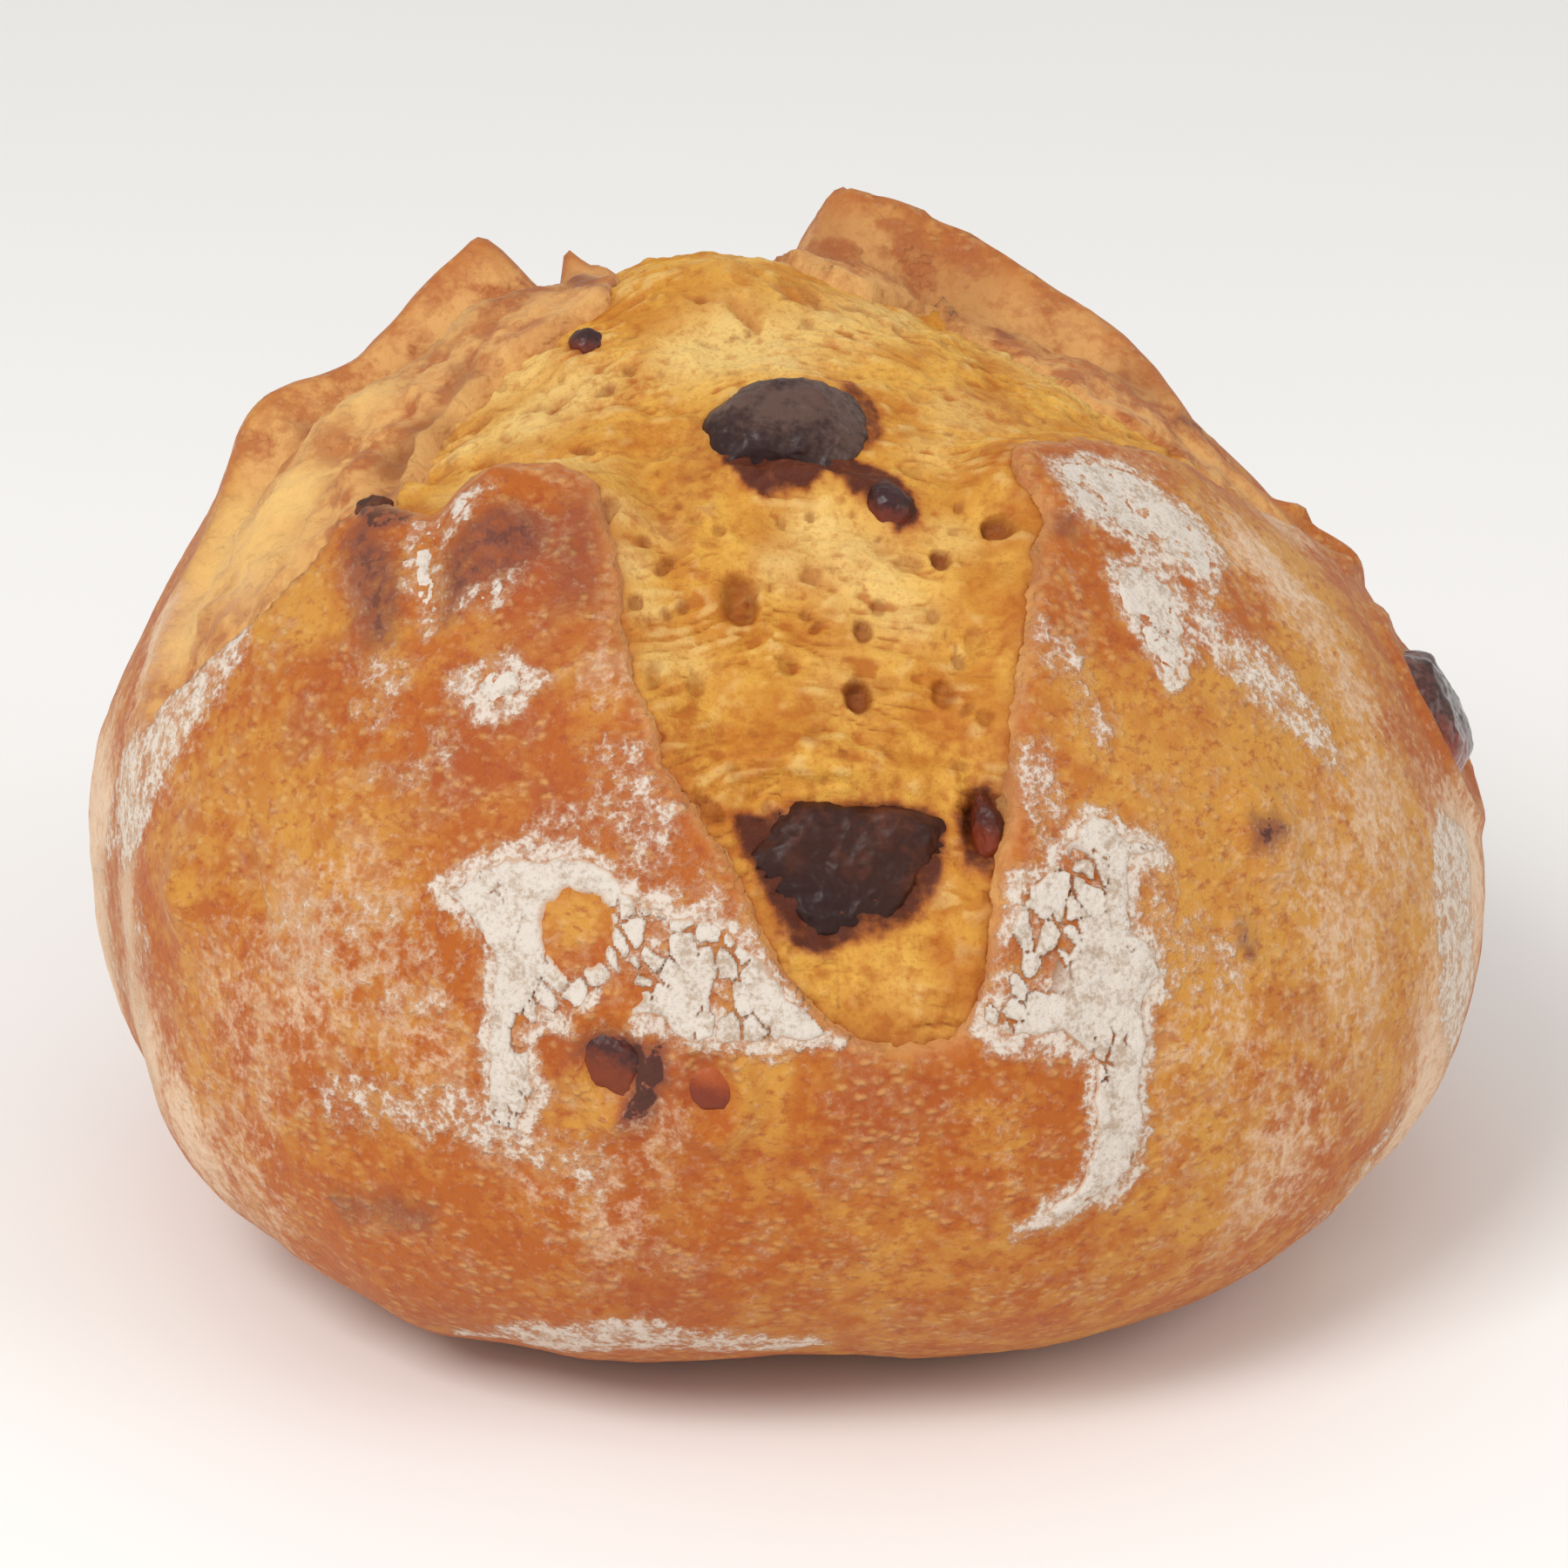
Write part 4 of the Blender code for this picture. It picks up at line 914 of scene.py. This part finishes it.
# Looks of a piece: how far it is sunk, share of wrinkling, taper downwards, colours of its top, its
# patches and its low part, where it dips into the dough and on the side turned down, to the front and
# left, roughness and gloss. A low colour darker than the top is a painted shade.
DARK_PIECE = (0.0, 0.8, 0.0, "#33191A", "#4C2620", "#6B2A1A", 0.4, 0.15)
TOMATO_LOOKS = {
    # The crown's grey-brown top colour is partly a painted sheen on its flat top, and its dark low colour a
    # painted shade under it.
    "tomato_crown": (0.2, 0.8, 0.12, "#5C433A", "#331C19", "#2A110E", 0.42, 0.1),
    "tomato_front": (0.6, 1.3, 0.42, "#361509", "#5C2C1A", "#2A0E08", 0.5, 0.05),
    "tomato_front_side": (-1.3, 0.8, 0.0, "#4A1D14", "#5A241A", "#7A3018", 0.45, 0.1),
    "tomato_right": (0.0, 0.7, 0.0, "#33211F", "#5A3A34", "#8A4030", 0.22, 0.4),
    "tomato_low_left": (0.0, 1.0, 0.2, "#40201C", "#5A2A22", "#7A3418", 0.5, 0.1),
    "tomato_low_middle": (0.1, 0.5, 0.0, "#9C441E", "#AC5424", "#7A3016", 0.4, 0.15),
    "tomato_rim_left": (0.4, 1.5, 0.0, "#4A2C20", "#6A4030", "#6A3A28", 0.7, 0.0),
}
BROAD_LUMPS = (0.5, 7.5)  # height and length
WRINKLES = ((0.34, 4.6), (0.17, 1.9), (0.08, 0.9))
TOMATO_GRAINS = ((4.2, 4, 0.55), (0.8, 4, 0.6))
TOMATO_FACES = 9000
PIECE_SMOOTHING = 0.3
LOAF_MIDDLE = Vector((0.0, 0.0, WIDEST_HEIGHT * MM))
SHADED_SIDE = Vector((-0.35, -0.5, -0.79))  # the side turned down, to the front and left, that takes the low colour: a painted shade where that is darker

for number, name in enumerate(sorted(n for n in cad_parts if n.startswith("tomato"))):
    looks = TOMATO_LOOKS.get(name, DARK_PIECE)
    sunk, wrinkling, taper, top_colour, patch_colour, low_colour, roughness, gloss = looks
    shape = bmesh.new()
    shape.from_mesh(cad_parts[name].data)
    bmesh.ops.remove_doubles(shape, verts=shape.verts[:], dist=1e-6)
    while len(shape.faces) < TOMATO_FACES:
        bmesh.ops.subdivide_edges(shape, edges=shape.edges[:], cuts=1, use_grid_fill=True)
        bmesh.ops.smooth_vert(
            shape, verts=shape.verts[:], factor=PIECE_SMOOTHING, use_axis_x=True, use_axis_y=True,
            use_axis_z=True,
        )
        bmesh.ops.triangulate(shape, faces=[f for f in shape.faces if len(f.verts) > 4])
    shape.normal_update()
    places = [vert.co.copy() for vert in shape.verts]
    middle_place = sum(places, Vector()) / len(places)
    out = (middle_place - LOAF_MIDDLE).normalized()
    reach = max((place - middle_place).dot(out) for place in places)
    fall = max(middle_place.z - place.z for place in places)
    shaded_reach = max((place - middle_place).dot(SHADED_SIDE) for place in places)
    dips_and_shade = []
    for vert in shape.verts:
        rise = BROAD_LUMPS[0] * noise.noise(vert.co / (BROAD_LUMPS[1] * MM) + Vector((0, number, 0)))
        for height, length in WRINKLES:
            crease = 1.0 - 2.0 * abs(noise.noise(vert.co / (length * MM) + Vector((number, 0, 0))))
            rise += wrinkling * height * (crease - 0.6)
        down = min(max((middle_place.z + 0.3 * fall - vert.co.z) / fall, 0.0), 1.0)
        # A share for the side turned down, to the front and left, which takes the low colour: a painted
        # shade where that is darker.
        shaded = 1.1 * min((vert.co - middle_place).dot(SHADED_SIDE) / shaded_reach + 0.3, 1.0)
        dips_and_shade.append(max(0.5 - 0.5 * (vert.co - middle_place).dot(out) / reach, shaded))
        vert.co += vert.normal * rise * MM - out * sunk * MM
        vert.co.x -= (vert.co.x - middle_place.x) * taper * down
    mesh = bpy.data.meshes.new(name + "_piece")
    shape.to_mesh(mesh)
    shape.free()
    mesh.shade_smooth()
    mesh.attributes.new("dip_and_shade", "FLOAT", "POINT").data.foreach_set("value", dips_and_shade)
    piece = bpy.data.objects.new(name + "_piece", mesh)
    bpy.context.scene.collection.objects.link(piece)
    # Dried tomato skin is leathery. Its high folds shine a little. Where it dips into the dough and on its
    # lower front-left side it takes its low colour: a painted shade on the crown, front and low middle
    # pieces, a redder colour on the others.
    made, tree, where, (middle, small), paint = new_material(
        name, TOMATO_GRAINS, ("dip_and_shade",), Specular_IOR_Level=0.28, Coat_Weight=gloss, Coat_Roughness=0.25
    )
    mottle = joined(tree, "ADD", middle, (small, 0.5))
    dipped_and_shaded = joined(tree, "ADD", paint["dip_and_shade"], (small, 0.3, 0.7, -0.12, 0.12))
    relief = joined(tree, "ADD", (middle, 0.4), (small, 0.5))
    dress(
        piece, made, Roughness=taken(tree, (small, 0.3, 0.7, roughness - 0.08, roughness + 0.15)),
        Base_Color=layered(
            tree, top_colour, ((mottle, 0.65, 1.0), patch_colour), ((dipped_and_shaded, 0.2, 0.85), low_colour)
        ),
        Normal=put(tree, "Bump", Strength=0.6, Distance=0.25 * MM, Height=relief),
    )
    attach(piece, "root")
    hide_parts(name)

# The stage: a pale floor, soft light from above and in front, and the photograph's camera.

FLOOR_COLOURS = ("#FBFAF9", "#FDFCFB")
FLOOR_GRAIN = (90, 3, 0.55)
CAMERA_RISE = math.radians(22.0)
CAMERA_DISTANCE = 0.6
CAMERA_TARGET = Vector((0.0, 0.0, 0.045))
PICTURE_WIDTH = 0.16886  # metres across the picture, at the loaf's middle
SENSOR = 36.0
SKY_COLOUR = (1.0, 0.985, 0.96, 1.0)
SKY_STRENGTH = 0.62
LAMPS = (("key", (-0.55, -0.75, 1.0), 0.55, 9.0), ("fill", (0.9, -0.5, 0.7), 0.6, 2.4))

floor_mesh = bpy.data.meshes.new("floor")
floor_mesh.from_pydata([(-4, -4, 0), (4, -4, 0), (4, 4, 0), (-4, 4, 0)], [], [(0, 1, 2, 3)])
floor = bpy.data.objects.new("floor", floor_mesh)
bpy.context.scene.collection.objects.link(floor)
made, tree, where, (broad,), paint = new_material("floor", (FLOOR_GRAIN,), (), Roughness=0.8)
dress(floor, made, Base_Color=layered(tree, FLOOR_COLOURS[0], (broad, FLOOR_COLOURS[1])))
floor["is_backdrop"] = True

world = bpy.data.worlds.new("studio")
bpy.context.scene.world = world
world.use_nodes = True
world.node_tree.nodes["Background"].inputs["Color"].default_value = SKY_COLOUR
world.node_tree.nodes["Background"].inputs["Strength"].default_value = SKY_STRENGTH
for name, place, size, power in LAMPS:
    light = bpy.data.lights.new(name, "AREA")
    light.size = size
    light.energy = power
    lamp = bpy.data.objects.new(name, light)
    lamp.location = place
    lamp.rotation_euler = (CAMERA_TARGET - lamp.location).to_track_quat("-Z", "Y").to_euler()
    bpy.context.scene.collection.objects.link(lamp)

back = Vector((0.0, -math.cos(CAMERA_RISE), math.sin(CAMERA_RISE)))
camera = bpy.data.objects.new("camera", bpy.data.cameras.new("camera"))
camera.location = CAMERA_TARGET + back * CAMERA_DISTANCE
camera.rotation_euler = (-back).to_track_quat("-Z", "Y").to_euler()
camera.data.sensor_width = SENSOR
camera.data.lens = SENSOR * CAMERA_DISTANCE / PICTURE_WIDTH
bpy.context.scene.collection.objects.link(camera)
bpy.context.scene.camera = camera
bpy.context.scene.view_settings.view_transform = "Standard"

boxes = {"cad": cad_box, "visual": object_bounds()}
boxes = {name: [[float(x) for x in corner] for corner in box] for name, box in boxes.items()}
